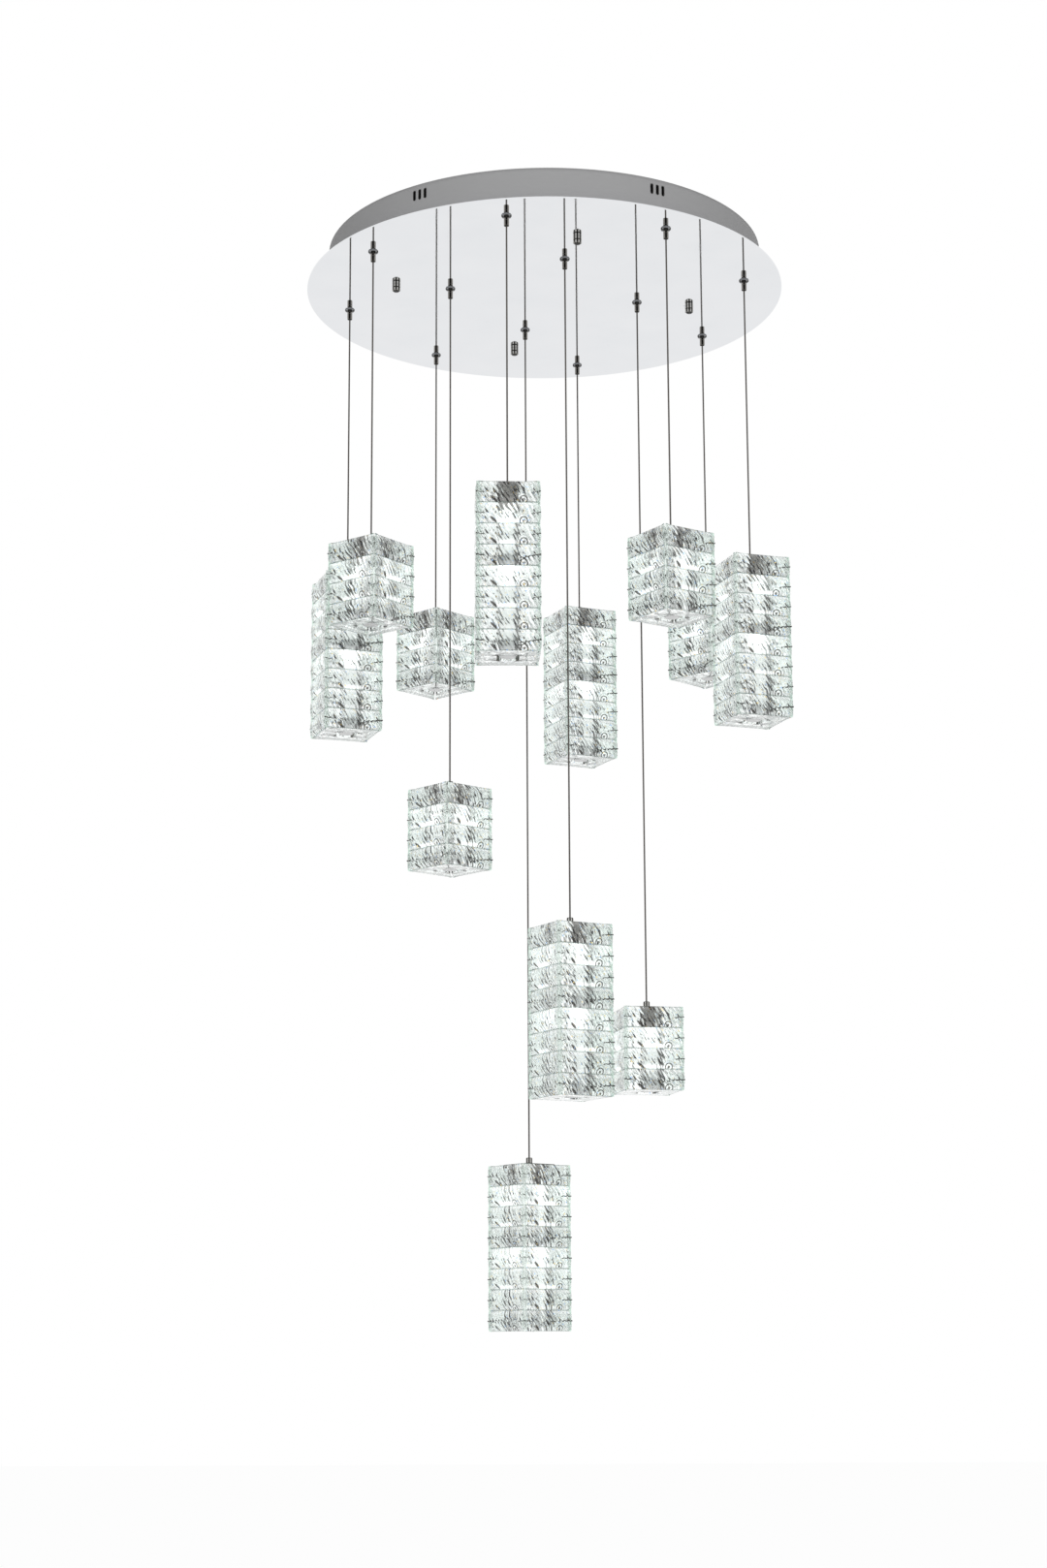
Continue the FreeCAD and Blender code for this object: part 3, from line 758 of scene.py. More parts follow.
class Dresser:
    """Makes each finish's material once, and meshes from surfaces."""

    def __init__(self) -> None:
        """Starts with no materials."""
        self.materials: dict[str, bpy.types.Material] = {}

    def material(self, finish: Finish) -> bpy.types.Material:
        """The finish's material, made at its first use.

        Args:
            finish: the finish.

        Returns:
            The material.
        """
        if finish.name not in self.materials:
            self.materials[finish.name] = finish.build()
        return self.materials[finish.name]

    def node(self, name: str, finish: Finish) -> None:
        """Gives a CAD node the finish.

        Args:
            name: of the node.
            finish: its finish.
        """
        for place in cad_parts[name].material_slots:
            place.material = self.material(finish)
        log.info("%s: carried over in %s", name, finish.name)

    def piece(
        self, name: str, surface: Surface, finish: Finish, body: str, nodes: tuple[str, ...] = ()
    ) -> bpy.types.Object:
        """Makes a piece of a surface, dressed and riding on its body.

        Args:
            name: of the piece.
            surface: its shape.
            finish: its finish.
            body: the CAD body that it moves with.
            nodes: the CAD nodes that it stands for.

        Returns:
            The object.
        """
        mesh = bpy.data.meshes.new(name)
        quads, triangles = surface.quads, surface.triangles
        mesh.vertices.add(len(surface.points))
        mesh.vertices.foreach_set("co", (surface.points * MM).ravel())
        mesh.loops.add(quads.size + triangles.size)
        mesh.loops.foreach_set("vertex_index", np.concatenate([quads.ravel(), triangles.ravel()]).astype(np.int32))
        starts = np.concatenate([np.arange(len(quads)) * 4, quads.size + np.arange(len(triangles)) * 3])
        mesh.polygons.add(len(starts))
        mesh.polygons.foreach_set("loop_start", starts.astype(np.int32))
        mesh.polygons.foreach_set("use_smooth", np.arange(len(starts)) < len(quads))
        for label, values in (("share", surface.share), ("lit", surface.lit)):
            mesh.attributes.new(label, "FLOAT", "POINT").data.foreach_set("value", values.astype(np.float32))
        mould = mesh.attributes.new("mould", "FLOAT_VECTOR", "POINT")
        mould.data.foreach_set("vector", (surface.mould * MM).astype(np.float32).ravel())
        mesh.update(calc_edges=True)
        mesh.validate()
        mesh.set_sharp_from_angle(angle=SHARP)
        mesh.materials.append(self.material(finish))
        made = placed_object(name, mesh)
        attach(made, body)
        if nodes:
            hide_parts(*nodes)
        log.info("%s: %d faces, %s", name, len(starts), finish.name)
        return made


# ---- The canopy -----------------------------------------------------------------------------------------------


@dataclass(frozen=True)
class Canopy:
    """The canopy that is fixed to the ceiling: plate, drum, spider, studs and nuts, and the electrics."""

    depth: float = 50.0
    plate_thickness: float = 2.0
    drum_radius: float = 273.0
    drum_wall: float = 1.2
    column_step: float = 2.5
    vent_half_width: float = 2.1
    vent_half_length: float = 6.5
    vent_pitch: float = 7.7
    vent_drop: float = 13.0
    vent_groups: tuple[float, ...] = (-123.3, -60.8, 60.8, 123.3)
    window_margin: float = 1.1
    stud_circle: float = 190.0
    stud_turn: float = 11.7
    nut_radius: float = 5.3
    nut_height: float = 9.4
    flutes: int = 8
    flute_depth: float = 0.8

    def build(self, dresser: Dresser) -> None:
        """Builds the canopy's pieces and dresses the CAD nodes that stay.

        Args:
            dresser: makes pieces and materials.
        """
        for name, finish in (
            ("canopy_plate", MIRROR), ("ceiling_spider", ZINC), ("hanger_studs", ZINC), ("grip_locknuts", ZINC),
            ("led_driver", CASE), ("terminal_block", BLOCK),
        ):
            dresser.node(name, finish)
        drum = dresser.piece("drum_wall", self.drum(), SATIN, "canopy", ("canopy_drum",))
        wall = drum.modifiers.new("wall", "SOLIDIFY")
        wall.thickness = self.drum_wall * MM
        wall.offset = -1.0
        # The wall's cut edges, round the vents and at its top and bottom, take the dark steel: painted shade of the
        # vents.
        drum.data.materials.append(dresser.material(STEEL))
        wall.material_offset_rim = 1
        places = circle_places(self.stud_circle, self.stud_turn, 4)
        nuts = joined([self.nut().moved((x, y, -self.depth)) for x, y in places])
        dresser.piece("fluted_nuts", nuts, FLUTED, "canopy", ("thumb_nuts",))

    def drum(self) -> Surface:
        """The drum's outer sheet with its vents: a flat layout of arc length by height, rolled to the drum's radius.

        The layout is a grid of columns and three rows. Each vent takes one cell of the middle row, and its rounded
        slot is joined to that cell's corners by fans of triangles.

        Returns:
            The sheet, its faces outward.
        """
        half_cell = math.degrees((self.vent_half_width + self.window_margin) / self.drum_radius)
        step = math.degrees(self.vent_pitch / self.drum_radius)
        centres = np.array([group + step * k for group in self.vent_groups for k in (-1, 0, 1)])
        borders = np.sort(np.concatenate([centres - half_cell, centres + half_cell]))
        gaps = np.diff(np.append(borders, borders[0] + 360))
        counts = np.maximum(np.ceil(gaps / self.column_step), 1).astype(int)
        columns = np.concatenate([start + np.arange(n) * gap / n for start, gap, n in zip(borders, gaps, counts)])
        reach = self.vent_half_length + self.window_margin
        heights = np.array([0.0, -self.vent_drop + reach, -self.vent_drop - reach, self.plate_thickness - self.depth])
        size = len(columns)
        grid = np.stack(np.broadcast_arrays(columns[None], heights[:, None]), axis=-1).reshape(-1, 2)
        row, column = np.meshgrid(np.arange(3), np.arange(size), indexing="ij")
        upper, lower, after = row * size, (row + 1) * size, (column + 1) % size
        cells = np.stack([upper + column, lower + column, lower + after, upper + after], axis=-1)
        starts = np.searchsorted(columns, centres - half_cell - 1e-6)
        keep = np.ones((3, size), bool)
        keep[1, starts] = False
        arc = np.linspace(0, math.pi, 9)
        straight = self.vent_half_length - self.vent_half_width
        half_slot = self.vent_half_width * np.column_stack([np.cos(arc), np.sin(arc)]) + [0, straight]
        slot = np.concatenate([half_slot, -half_slot])
        layout, fans = [grid], []
        for number, (centre, left) in enumerate(zip(centres, starts)):
            first, right = len(grid) + number * len(slot), (left + 1) % size
            across = np.degrees(slot[:, 0] / self.drum_radius)
            layout.append(np.column_stack([centre + across, slot[:, 1] - self.vent_drop]))
            corners = [size + right, size + left, 2 * size + left, 2 * size + right]
            owner = np.repeat([0, 1, 2, 3], [4, 5, 4, 5])
            for k in range(len(slot)):
                here, following = first + k, first + (k + 1) % len(slot)
                fans.append([corners[owner[k]], following, here])
                if owner[k] != owner[(k + 1) % len(slot)]:
                    fans.append([corners[owner[k]], corners[(owner[k] + 1) % 4], following])
        plan = np.concatenate(layout)
        angle = np.radians(plan[:, 0])
        points = np.column_stack([self.drum_radius * np.cos(angle), self.drum_radius * np.sin(angle), plan[:, 1]])
        plain = np.zeros(len(points))
        return Surface(points, cells[keep], np.array(fans), plain, plain, points)

    def nut(self) -> Surface:
        """A thumb nut below height zero: fluted, waisted, with a domed end.

        Returns:
            The closed surface.
        """
        radius, end = self.nut_radius, -self.nut_height
        profile = [
            (0.5, -0.02, 0), (radius, -0.02, 0.3), (radius, -3.3, 0.3), (radius - 0.8, -3.6, 0.1),
            (radius - 0.8, -4.5, 0.1), (radius, -4.8, 0.3), (radius, end + 1.7, 0.8), (radius - 2.1, end, 0.8),
            (0.5, end, 0),
        ]
        return fluted(turned(profile, segments=112, steps=3), radius, self.flutes, self.flute_depth)


# ---- The pendants ---------------------------------------------------------------------------------------------


@dataclass(frozen=True)
class Grip:
    """A cord grip under the plate, in two turned pieces."""

    flange_radius: float = 7.0
    flange_thickness: float = 1.2
    tube_radius: float = 2.95
    barrel_radius: float = 3.6
    barrel_length: float = 12.0
    plate_bottom: float = -50.0
    tube_top: float = -41.0
    notch: float = 0.9
    notch_half: float = 42.0
    notch_fade: float = 6.0
    notch_rise: float = 0.3
    flutes: int = 4
    flute_depth: float = 0.5

    def bush(self) -> Surface:
        """The bush: a tube up through the plate and a flange under it with a rolled edge and two spanner notches.

        A rim point at angle a moves in by notch * cut(a), where cut is 1 within 36 degrees of the X axis and fades
        out by 42 degrees, and begins a little outside the barrel. The share is the cut, which the finish paints dark in
        the notches as painted shade and painted dark reflections.

        Returns:
            The closed surface.
        """
        seat, low = self.plate_bottom - 0.02, self.plate_bottom - self.flange_thickness
        top, neck, rim = self.tube_top, self.tube_radius, self.flange_radius
        profile = [
            (0.6, top - 3, 0), (1.5, top, 0.2), (neck, top, 0.3), (neck, seat, 0), (rim - 2.6, seat, 0),
            (rim, seat, 0.3), (rim, low, 0.5), (rim - 2.6, low, 0), (self.barrel_radius + 0.8, low - 0.05, 0),
            (0.6, low - 0.05, 0),
        ]
        bush = turned(profile, segments=90, steps=3)
        away = np.degrees(np.arcsin(np.abs(bush.points[:, 1]) / np.maximum(bush.spread, 0.1)))
        outside = np.clip((bush.spread - self.barrel_radius - self.notch_rise) / self.notch_rise, 0, 1)
        cut = np.clip((self.notch_half - away) / self.notch_fade, 0, 1) * outside
        return bush.drawn_in(self.notch / rim * cut, cut)

    def barrel(self) -> Surface:
        """The barrel: a neck, a shallow groove at a third, and a rounded end about the cord.

        Returns:
            The closed surface.
        """
        top = self.plate_bottom - self.flange_thickness - 0.05
        end = self.plate_bottom - self.flange_thickness - self.barrel_length
        radius = self.barrel_radius
        profile = [
            (0.6, top, 0), (radius - 0.6, top, 0.1), (radius - 0.6, top - 2.0, 0.1), (radius, top - 2.3, 0.2),
            (radius, top - 4.2, 0.1), (radius - 0.3, top - 4.5, 0.1), (radius - 0.3, top - 4.9, 0.1),
            (radius, top - 5.2, 0.1), (radius, end + 0.3, 1.0), (1.3, end, 0.2), (1.1, end + 0.8, 0),
            (0.6, end + 0.8, 0),
        ]
        return fluted(turned(profile, segments=80, steps=3), radius, self.flutes, self.flute_depth)


@dataclass(frozen=True)
class Bar:
    """A cast glass bar of a ring, its length along Y on the shade's +X side and its top at height zero.

    It has some 600 faces, though it is repeated, because the bars are the lamp's main visible form. The rounded
    edges are deep at the front, where both x and its normal's x pass their (start, fade), and shallow elsewhere.
    """

    half: float = 37.5
    depth: float = 25.0
    height: float = 25.0
    gap: float = 1.2
    corner: float = 4.5
    edge_depth: float = 3.2
    edge_height: float = 7.5
    edge_steps: tuple[float, ...] = (0.0, 0.07, 0.2, 0.4, 0.65, 1.0)
    edge_power: float = 1.5
    inner_edge: float = 0.4
    front: tuple[float, float] = (33.0, 3.0)
    outward: tuple[float, float] = (0.1, 0.4)
    mitre_places: tuple[float, ...] = (0.08, 0.5, 0.87, 0.94)
    inner_places: tuple[float, float] = (9.6, 8.4)
    swell: float = 0.2
    fine_swell: float = 0.6
    swell_lengths: tuple[float, ...] = (7.5, 5.5, 4.1, 9.0)
    seam: float = 0.1
    # reach and fade of the painted shade at the arrises
    arris: float = 3.1
    arris_fade: float = 0.9

    def plan(self) -> np.ndarray:
        """The bar's plan: outer face, rounded tips that make the shade's corners, mitre faces and inner face.

        Each tip is the arc of the shade's corner, centre (h - r, h - r), swept from the outer face to where the
        mitre plane y = x - gap / sqrt 2 cuts it.

        Returns:
            Points by 2, anticlockwise from the middle of the outer face.
        """
        apex = self.gap / math.sqrt(2)
        centre = self.half - self.corner
        inner = self.half - self.depth
        sweep = math.acos(apex / self.corner / math.sqrt(2)) - math.pi / 4
        face = [(self.half, y, 0.0) for y in np.linspace(0, centre, 7)]
        tip = [
            (centre + self.corner * math.cos(a), centre + self.corner * math.sin(a), 0.0)
            for a in np.linspace(0, sweep, 4)[1:]
        ]
        end_x, end_y = tip[-1][:2]
        tip[-1] = (end_x, end_y, 0.5)
        mitre = [
            (end_x + (inner - end_x) * s, end_y + (inner - apex - end_y) * s, 0.0) for s in self.mitre_places
        ]
        back = [(inner, inner - apex, 0.5), *[(inner, y, 0.0) for y in (*self.inner_places, 0.0)]]
        half = rounded(face + tip + mitre + back, steps=2)
        return np.concatenate([half, half[1:-1][::-1] * [1, -1]])

    def surface(self, chance: np.random.Generator) -> Surface:
        """The bar: its plan drawn in along rounded edges, and its long faces swelling a little.

        Over its first and last edge height e the plan is drawn in by w (1 - t)^1.5 at the drop t e, w being the outer
        or the inner edge's depth. The swell is a product of two slow sine waves of each face's own phase, plus a
        third, finer one. The share is painted shade: it is 1 at the arrises, the inner ends of the mitres, and fades
        out beside them.

        Args:
            chance: gives each bar its own phases.

        Returns:
            The closed surface, with the bar's middle as its mould's origin.
        """
        plan = self.plan()
        normals = plan_normals(plan)
        (front, front_fade), (outward, outward_fade) = self.front, self.outward
        outer = np.clip((plan[:, 0] - front) / front_fade, 0, 1)
        outer = outer * np.clip((normals[:, 0] - outward) / outward_fade, 0, 1)
        depth = self.inner_edge + (self.edge_depth - self.inner_edge) * outer
        part = np.array(self.edge_steps)
        drop = self.edge_height * part
        inset = (1 - part) ** self.edge_power
        inside = np.linspace(self.edge_height, self.height - self.edge_height, 5)[1:-1]
        levels = np.concatenate([drop + self.seam, inside, self.height - self.seam - drop[::-1]])
        share = np.concatenate([inset, np.zeros(len(inside)), inset[::-1]])
        phase = chance.uniform(0, 2 * math.pi, 4)
        long_y, long_z, fine_y, fine_z = self.swell_lengths
        wave = np.sin(plan[:, 1] / long_y + phase[0])[None] * np.sin(levels / long_z + phase[1])[:, None]
        fine = np.sin(plan[:, 1] / fine_y + phase[2] + levels[:, None] / fine_z + phase[3])
        flat = np.abs(normals[:, 0]) > 0.98
        wave = (wave + self.fine_swell * fine) * flat[None] * (1 - share)[:, None] * self.swell
        offset = wave - share[:, None] * depth[None]
        heights = -np.broadcast_to(levels[:, None, None], offset.shape + (1,))
        rings = np.concatenate([plan[None] + offset[..., None] * normals[None], heights], axis=-1)
        inner = self.half - self.depth
        side = inner - self.gap / math.sqrt(2)
        near = np.linalg.norm(plan[:, None] - np.array([[inner, side], [inner, -side]])[None], axis=-1).min(axis=1)
        # Painted shade: 1 at the hollow's corners, fading out beside them.
        arris = np.clip((self.arris - near) / self.arris_fade, 0, 1)
        made = loft(rings, np.broadcast_to(arris, offset.shape))
        return replace(made, mould=made.points + [0, 0, self.height / 2])


@dataclass(frozen=True)
class LampLight:
    """How the lamps on a shade's axis light its glass bars, as painted light that the glass gives off.

    For a lamp at height h, a point at height z and y along its bar gets a round glow
    exp(-((z - h + 10) / 8)^2 - (y / 10)^2), and on the bar's lower edge a band that fades with the distance below the
    lamp as exp(-(h - z) / 45) and ends 17 mm either side of the bar's middle. In the first ring, round the dark
    housing, 1.2 is taken off up to 25 mm either side, as the housing's painted shade, and the lower face of the shade
    gets 0.25 more, as painted light. Pairs are (where a thing ends, the width of its fade), and (first lamp, later
    lamps) for what is in the plural.
    """

    lamps: tuple[float, ...]
    foot: float
    first_ring: float
    glow: tuple[float, float, float] = (10.0, 8.0, 10.0)
    glow_strengths: tuple[float, float] = (0.6, 1.0)
    band_strength: float = 5.0
    band_edge: tuple[float, float] = (7.0, 2.0)
    band_half: tuple[float, float] = (17.0, 3.0)
    band_fade: float = 45.0
    band_starts: tuple[float, float] = (14.0, 30.0)
    band_end: float = 60.0
    # painted shade of the dark housing, taken off the glass's light in the first ring
    dark: float = 1.2
    dark_half: tuple[float, float] = (25.0, 6.0)
    foot_light: float = 0.25
    foot_reach: tuple[float, float] = (1.5, 1.2)

    def on(self, mould: np.ndarray, middle: float) -> np.ndarray:
        """How much the lamps light a bar's points.

        Args:
            mould: the points in the bar's own coordinates.
            middle: the height of the bar's middle, below the glass's top.

        Returns:
            A number for each point, and 0 for the two poles that close the bar's ends.
        """
        height, away = mould[:, 2] + middle, np.abs(mould[:, 1])
        drop, tall, wide = self.glow
        ends = (
            (-mould[:, 2] - self.band_edge[0], self.band_edge[1]), (self.band_half[0] - away, self.band_half[1]),
            (self.dark_half[0] - away, self.dark_half[1]),
            (self.foot + self.foot_reach[0] - height, self.foot_reach[1]),
        )
        edge, side, dark, foot = [np.clip(room / fade, 0, 1) for room, fade in ends]
        lit = np.zeros(len(mould))
        for number, lamp in enumerate(self.lamps):
            later = min(number, 1)
            below = lamp - height
            glow = np.exp(-(((below - drop) / tall) ** 2) - (mould[:, 1] / wide) ** 2)
            band = edge * side * np.exp(-np.clip(below, 0, None) / self.band_fade)
            band = band * (below > self.band_starts[later]) * (below < self.band_end)
            lit += self.glow_strengths[later] * glow + self.band_strength * band
        # Painted shade of the dark housing round the first ring.
        if middle > self.first_ring:
            lit -= self.dark * dark
        lit[-2:] = 0
        return lit + self.foot_light * foot


class Reach(Enum):
    """How many modules of four rings a shade has."""

    SHORT = 1
    TALL = 2


@dataclass(frozen=True)
class Pendant:
    """One hanging shade with its cord, core and light rods."""

    name: str
    reach: Reach
    drop: float
    corner_angle: float
    place: tuple[float, float]
    mouth: float = -63.2
    plate_bottom: float = -50.0
    ring: float = 25.0
    cord_radius: float = 1.0
    cap_half: float = 23.0
    cap_thickness: float = 1.5
    ferrule_radius: float = 4.25
    ferrule_length: float = 8.5
    flutes: int = 8
    flute_depth: float = 0.3
    housing: float = 11.0
    rod: float = 10.0
    collar_drop: float = 81.5
    finial: float = 9.0
    pin_start: float = 37.0
    arm_reach: float = 52.0
    arm_half: float = 0.75
    pin_half: float = 0.62
    glow_depth: float = 5.5
    first_glow: float = 0.3
    # how much painted shade each ring's arrises get: less in the rings lit by a lamp
    arris_shade: tuple[float, ...] = (0.45, 0.7, 0.99, 1.0)
    lift: float = 3.0
    travel: float = 250.0

    @property
    def top(self) -> float:
        """The height of the glass's upper face."""
        return self.plate_bottom - self.drop

    @property
    def cord_end(self) -> float:
        """The height of the ferrule's mouth."""
        return self.top + self.cap_thickness + self.ferrule_length

    @property
    def modules(self) -> list[float]:
        """The heights of the modules' tops below the glass's top."""
        return [-4 * self.ring * module for module in range(self.reach.value)]

    def placed(self, surface: Surface) -> Surface:
        """A surface of the shade, whose glass begins at height zero, put where this shade hangs."""
        return surface.moved((*self.place, self.top), self.corner_angle - 45)

    def build(self, dresser: Dresser, chance: np.random.Generator) -> None:
        """Builds the pendant.

        Args:
            dresser: makes pieces and materials.
            chance: gives the glass bars their differences.
        """
        self.cord(dresser)
        for kind, surface, finish, slot, node in (
            ("ferrule", self.ferrule().moved((*self.place, self.top)), FLUTED, "core_metal", "core"),
            ("cap", self.placed(self.cap()), HOUSING, "core_metal", "core"),
            ("housing", self.placed(self.sleeve(0.0, -self.ring - self.lift)), HEAD, "core_metal", "core"),
            ("collars", self.placed(self.collars()), COLLAR, "core_metal", "core"),
            ("arms", self.placed(self.arms()), STEEL, "core_metal", "core"),
            ("rods", self.placed(self.rods()), FROST, "light_rod", "light_rods"),
            ("bars", self.placed(self.bars(chance)), GLASS, "cast_glass", "glass"),
        ):
            nodes = (f"{node}_{self.name}",)
            dresser.piece(f"{kind}_{self.name}", surface, finish, f"pendant_{self.name}", nodes)

    def cord(self, dresser: Dresser) -> None:
        """The cord: a tube along the smooth line of its route, from the grip's mouth down into the ferrule.

        Args:
            dresser: makes pieces and materials.
        """
        x, y = self.place
        route = [(x, y, self.mouth), (x, y, (self.mouth + self.cord_end) / 2), (x, y, self.cord_end)]
        path = smooth_line(f"route_{self.name}", route)
        body = f"cord_{self.name}"
        made = dresser.piece(f"jacket_{self.name}", tube(path, self.cord_radius), JACKET, body, (body,))
        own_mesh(made)

    def ferrule(self) -> Surface:
        """The turned and fluted ferrule on the cap that takes the cord's end.

        Returns:
            The closed surface. Its share, the painted shade of its flutes, is 0 on its ends.
        """
        low, high, radius = self.cap_thickness, self.cap_thickness + self.ferrule_length, self.ferrule_radius
        profile = [
            (0.6, high - 0.6, 0), (1.2, high - 0.6, 0), (1.5, high, 0.2), (radius - 0.9, high, 0.7),
            (radius, high - 1.2, 0.5), (radius, low + 2.2, 0.15), (radius - 0.35, low + 1.9, 0.1),
            (radius - 0.35, low + 1.5, 0.1), (radius, low + 1.2, 0.15), (radius, low + 0.02, 0), (0.6, low + 0.02, 0),
        ]
        surface = fluted(turned(profile, segments=80, steps=3), radius, self.flutes, self.flute_depth)
        return replace(surface, share=np.where(surface.spread < radius - 0.8, 0, surface.share))

    def cap(self) -> Surface:
        """The square cap on the first ring, with rounded corners and softened edges."""
        return upright(square_plan(self.cap_half, 3.0), edge_levels(self.cap_thickness, 0.05, 0.35))

    def sleeve(self, top: float, bottom: float) -> Surface:
        """A turned sleeve between two heights: the lamp housing in the first ring, or a collar."""
        profile = [(0.5, top, 0), (self.housing, top, 0.5), (self.housing, bottom, 0.5), (0.5, bottom, 0)]
        return turned(profile, segments=48, steps=3)

    def collars(self) -> Surface:
        """The collar at the foot of each module, and the finial disc under the last.

        Returns:
            The closed surfaces.
        """
        feet = [first - 4 * self.ring for first in self.modules]
        feet[-1] += self.lift
        pieces = [self.sleeve(first - self.collar_drop, foot) for first, foot in zip(self.modules, feet)]
        foot, radius = feet[-1], self.finial
        disc = [(0.5, foot, 0), (radius, foot, 0.1), (radius, foot - 2.3, 0.9), (0.5, foot - 2.4, 0)]
        return joined([*pieces, turned(disc, segments=48)])

    def arms(self) -> Surface:
        """The carrier arms in the mitre joints of every fourth ring, and the pins in those of the other rings.

        Returns:
            The closed surfaces.
        """
        pieces = []
        for ring in range(4 * self.reach.value):
            middle = -self.ring * (ring + 0.5)
            carries = ring % 4 == 3
            start, half = (self.housing - 1.0, self.arm_half) if carries else (self.pin_start, self.pin_half)
            plan = np.array([[start, -half], [self.arm_reach, -half], [self.arm_reach, half], [start, half]])
            strip = upright(plan, edge_levels(middle + half, middle - half, 0.25, steps=2))
            pieces += [strip.moved((0, 0, 0), 45 + 90 * corner) for corner in range(4)]
        return joined(pieces)

    def rods(self) -> Surface:
        """The frosted rods between the housings. A rod's share falls from its lit top as exp(-depth / glow depth).

        It starts at 1, and at less in the first rod, whose lamp stands deep in its housing.

        Returns:
            The closed surfaces.
        """
        pieces = []
        for first in self.modules:
            top = first or -self.ring - self.lift
            levels = np.linspace(top - 0.05, first - self.collar_drop + 0.05, 17)
            share = (1.0 if first else self.first_glow) * np.exp((levels - levels[0]) / self.glow_depth)
            pieces.append(loft(self.rod * circle(40)[None] + levels[:, None, None] * UP, share))
        return joined(pieces)

    def bars(self, chance: np.random.Generator) -> Surface:
        """All bars of the shade, four to a ring, lit by the lamps. The painted shade at their arrises is weaker in the
        rings near a lamp.

        Args:
            chance: gives the bars their differences.

        Returns:
            The closed surfaces.
        """
        bar = Bar()
        lamps = (-self.ring - self.lift, *self.modules[1:])
        light = LampLight(lamps, foot=-4 * self.ring * self.reach.value, first_ring=-self.ring)
        made = []
        for ring in range(4 * self.reach.value):
            for side in range(4):
                surface = bar.surface(chance)
                lit = light.on(surface.mould, -self.ring * (ring + 0.5))
                share = surface.share * self.arris_shade[ring % 4]
                made.append(replace(surface, lit=lit, share=share).moved((0, 0, -self.ring * ring), 90 * side))
        return joined(made)


def smooth_line(name: str, route: list[tuple[float, float, float]]) -> np.ndarray:
    """The points of a route's smooth line, a NURBS spline that has the route's points as its control points.

    Args:
        name: of the curve that is made for it and removed.
        route: control points in millimetres.

    Returns:
        Points by 3, in millimetres.
    """
    curve = bpy.data.curves.new(name, "CURVE")
    curve.dimensions = "3D"
    spline = curve.splines.new("NURBS")
    spline.points.add(len(route) - 1)
    spline.points.foreach_set("co", [value for point in route for value in (*point, 1.0)])
    spline.order_u = 3
    spline.use_endpoint_u = True
    spline.resolution_u = 12
    line = bpy.data.objects.new(name, curve)
    mesh = bpy.data.meshes.new_from_object(line)
    points = np.empty(3 * len(mesh.vertices))
    mesh.vertices.foreach_get("co", points)
    bpy.data.objects.remove(line)
    bpy.data.curves.remove(curve)
    bpy.data.meshes.remove(mesh)
    return points.reshape(-1, 3)


# ---- The studio -----------------------------------------------------------------------------------------------


